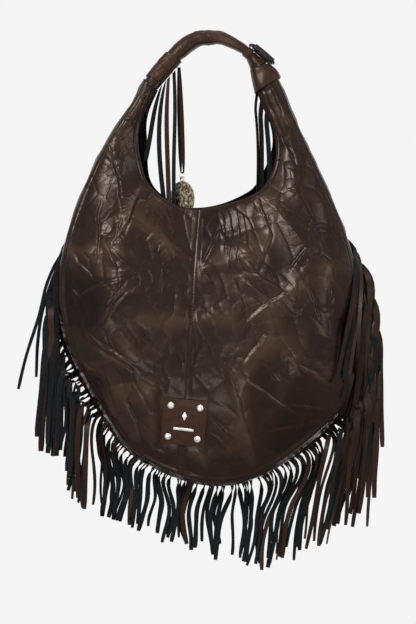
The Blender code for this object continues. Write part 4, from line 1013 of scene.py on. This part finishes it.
def coin_height(share, angle):
    """Relief of one face at a share of the radius."""
    height = 0.0
    if share > 0.93:
        height = 0.00035
    elif 0.76 < share <= 0.86:
        bead = max(0.0, math.cos(angle * 36)) * math.sin(math.pi * (share - 0.76) / 0.10)
        height = 0.00035 * bead
    elif 0.70 < share <= 0.76:
        height = 0.00025 * math.sin(math.pi * (share - 0.70) / 0.06)
    elif share <= 0.70:
        petal = 0.5 + 0.5 * math.cos(angle * 8)
        length = 0.30 + 0.36 * petal ** 0.6
        if share < 0.12:
            height = 0.0006 * math.cos(share / 0.12 * math.pi / 2) + 0.0002
        elif share < length:
            height = 0.00055 * math.sin(math.pi * (share - 0.12) / (length - 0.12)) ** 0.7
    return height


def coin():
    """Both faces and the edge, as one closed shell about the middle."""
    bpy.ops.mesh.primitive_grid_add(x_subdivisions=SPOKES, y_subdivisions=2 * RINGS + 2, size=1.0)
    thing = bpy.context.object
    thing.name = "visual_charm_medal"
    points = []
    for vert in thing.data.vertices:
        angle = (vert.co.x + 0.5) * 2 * math.pi
        place = (vert.co.y + 0.5) * (2 * RINGS + 2)
        front = place <= RINGS + 1
        share = min(place if front else 2 * RINGS + 2 - place, RINGS) / RINGS
        level = 0.0007 + coin_height(share, angle)
        if place == RINGS + 1:
            share = 1.01
            level = 0.0
        out = level if front else -level
        radius = MEDAL_RADIUS * 0.99 * share
        spot = swing * (radius * math.cos(angle)) + faces_out * out
        points.append(medal_centre + spot + Vector((0.0, 0.0, radius * math.sin(angle))))
    put_points(thing, [tuple(point) for point in points])
    alone(thing)
    bpy.ops.object.mode_set(mode="EDIT")
    bpy.ops.mesh.select_all(action="SELECT")
    bpy.ops.mesh.remove_doubles(threshold=0.00001)
    bpy.ops.mesh.normals_make_consistent(inside=False)
    bpy.ops.object.mode_set(mode="OBJECT")
    return thing


medal = coin()
rough = np.array([noise.noise(Vector(point) * 420.0) for point in points_of(medal)])
put_points(medal, points_of(medal) + normals_of(medal) * (rough * 0.00012)[:, None])
lug_centre = Vector((medal_centre.x, medal_centre.y, solid_medal[:, 2].max() - LUG_DROP))
bpy.ops.mesh.primitive_torus_add(major_radius=0.0030, minor_radius=0.0009, major_segments=28,
                                 minor_segments=12, location=lug_centre,
                                 rotation=(math.radians(90), 0.0, math.atan2(swing.y, swing.x)))
lug = bpy.context.object
bpy.ops.object.transform_apply(location=True, rotation=True, scale=True)
alone(medal)
lug.select_set(True)
bpy.ops.object.join()
dress(medal, "medal", "charm_medal", coin_metal, "charm_medal")
print("medal faces:", len(medal.data.polygons))

# %% [markdown]
# ## Cuff, keeper and buckle
# The right neck ends in a cuff, whose own neck narrows up to the keeper. A buckle with an
# arched leather tongue joins it to the strap.

# %% Cuff, keeper and buckle
BUCKLE = [("strap_cuff", strap_brown, 0.0006), ("strap_keeper", lace_brown, 0.0005),
          ("buckle_tongue", lace_brown, 0.0004), ("buckle_frame", gunmetal, 0.0),
          ("buckle_prong", gunmetal, 0.0003)]
for node, material, edge in BUCKLE:
    piece = rounded(node, "root", material, edge, 2)
    if material is not gunmetal:
        points = points_of(piece)
        press(piece, 0.0003 * ridged(points, 0.011, 2.0), normals_of(piece))

# X, Z, half width and half depth at both ends of the neck.
NECK_LOW = (0.0667, -0.0288, 0.0127, 0.0160)
NECK_HIGH = (0.0555, -0.0142, 0.0066, 0.0135)
NECK_WALL = 0.0012
bpy.ops.mesh.primitive_cylinder_add(vertices=48, radius=1.0, depth=1.0, end_fill_type="NOTHING")
neck = bpy.context.object
neck.name = "cuff_neck"
bpy.ops.object.mode_set(mode="EDIT")
bpy.ops.mesh.subdivide(number_cuts=15)
bpy.ops.object.mode_set(mode="OBJECT")
run = Vector((NECK_HIGH[0] - NECK_LOW[0], 0.0, NECK_HIGH[1] - NECK_LOW[1]))
outwards = Vector((-run.z, 0.0, run.x)).normalized()
shaped = []
for x, y, z in points_of(neck):
    share = z + 0.5
    ease = share ** 0.8
    half = NECK_LOW[2] + (NECK_HIGH[2] - NECK_LOW[2]) * ease
    wide = NECK_LOW[3] + (NECK_HIGH[3] - NECK_LOW[3]) * ease
    centre = Vector((NECK_LOW[0], 0.0, NECK_LOW[1])) + run * share
    shaped.append(tuple(centre + outwards * (x * half) + Vector((0.0, y * wide, 0.0))))
put_points(neck, shaped)
alone(neck)
bpy.ops.object.mode_set(mode="EDIT")
bpy.ops.mesh.select_all(action="SELECT")
bpy.ops.mesh.normals_make_consistent(inside=False)
bpy.ops.object.mode_set(mode="OBJECT")
wall = neck.modifiers.new("wall", "SOLIDIFY")
wall.thickness = NECK_WALL
wall.offset = -1.0
apply_all(neck)
neck_points = points_of(neck)
press(neck, 0.0004 * ridged(neck_points, 0.012, 3.0), normals_of(neck))
dress(neck, "root", "strap_cuff", strap_brown)
print("buckle done")

# %% [markdown]
# ## Patch
# A square of the same leather with four domed rivets. The plates are plain metal.

# %% Patch, rivets and plates
patch = rounded("label_patch", "root", lace_brown, 0.0004, 3)
points = points_of(patch)
press(patch, 0.00018 * ridged(points, 0.012, 7.0), normals_of(patch))
for number in range(1, 5):
    rounded("rivet_%d" % number, "root", silver, 0.0002, 2)
for node in ("patch_lozenge", "patch_bar"):
    rounded(node, "root", silver, 0.0002, 1)
print("patch done")

# %% [markdown]
# ## Lining
# The black lining hangs inside, a little off the leather. Its flat size is an estimate.

# %% Lining
lining = copy_of("lining", "visual_lining")
smooth = lining.modifiers.new("smooth", "SUBSURF")
smooth.levels = smooth.render_levels = 2
apply_all(lining)
put_points(lining, rear_edge_in(points_of(lining)))
points = points_of(lining)
height = 0.0004 * ridged(points, 0.030, 1.0)
put_points(lining, points + normals_of(lining) * np.clip(height, -0.0006, 0.0004)[:, None])
dress(lining, "root", "lining", cloth, "lining")
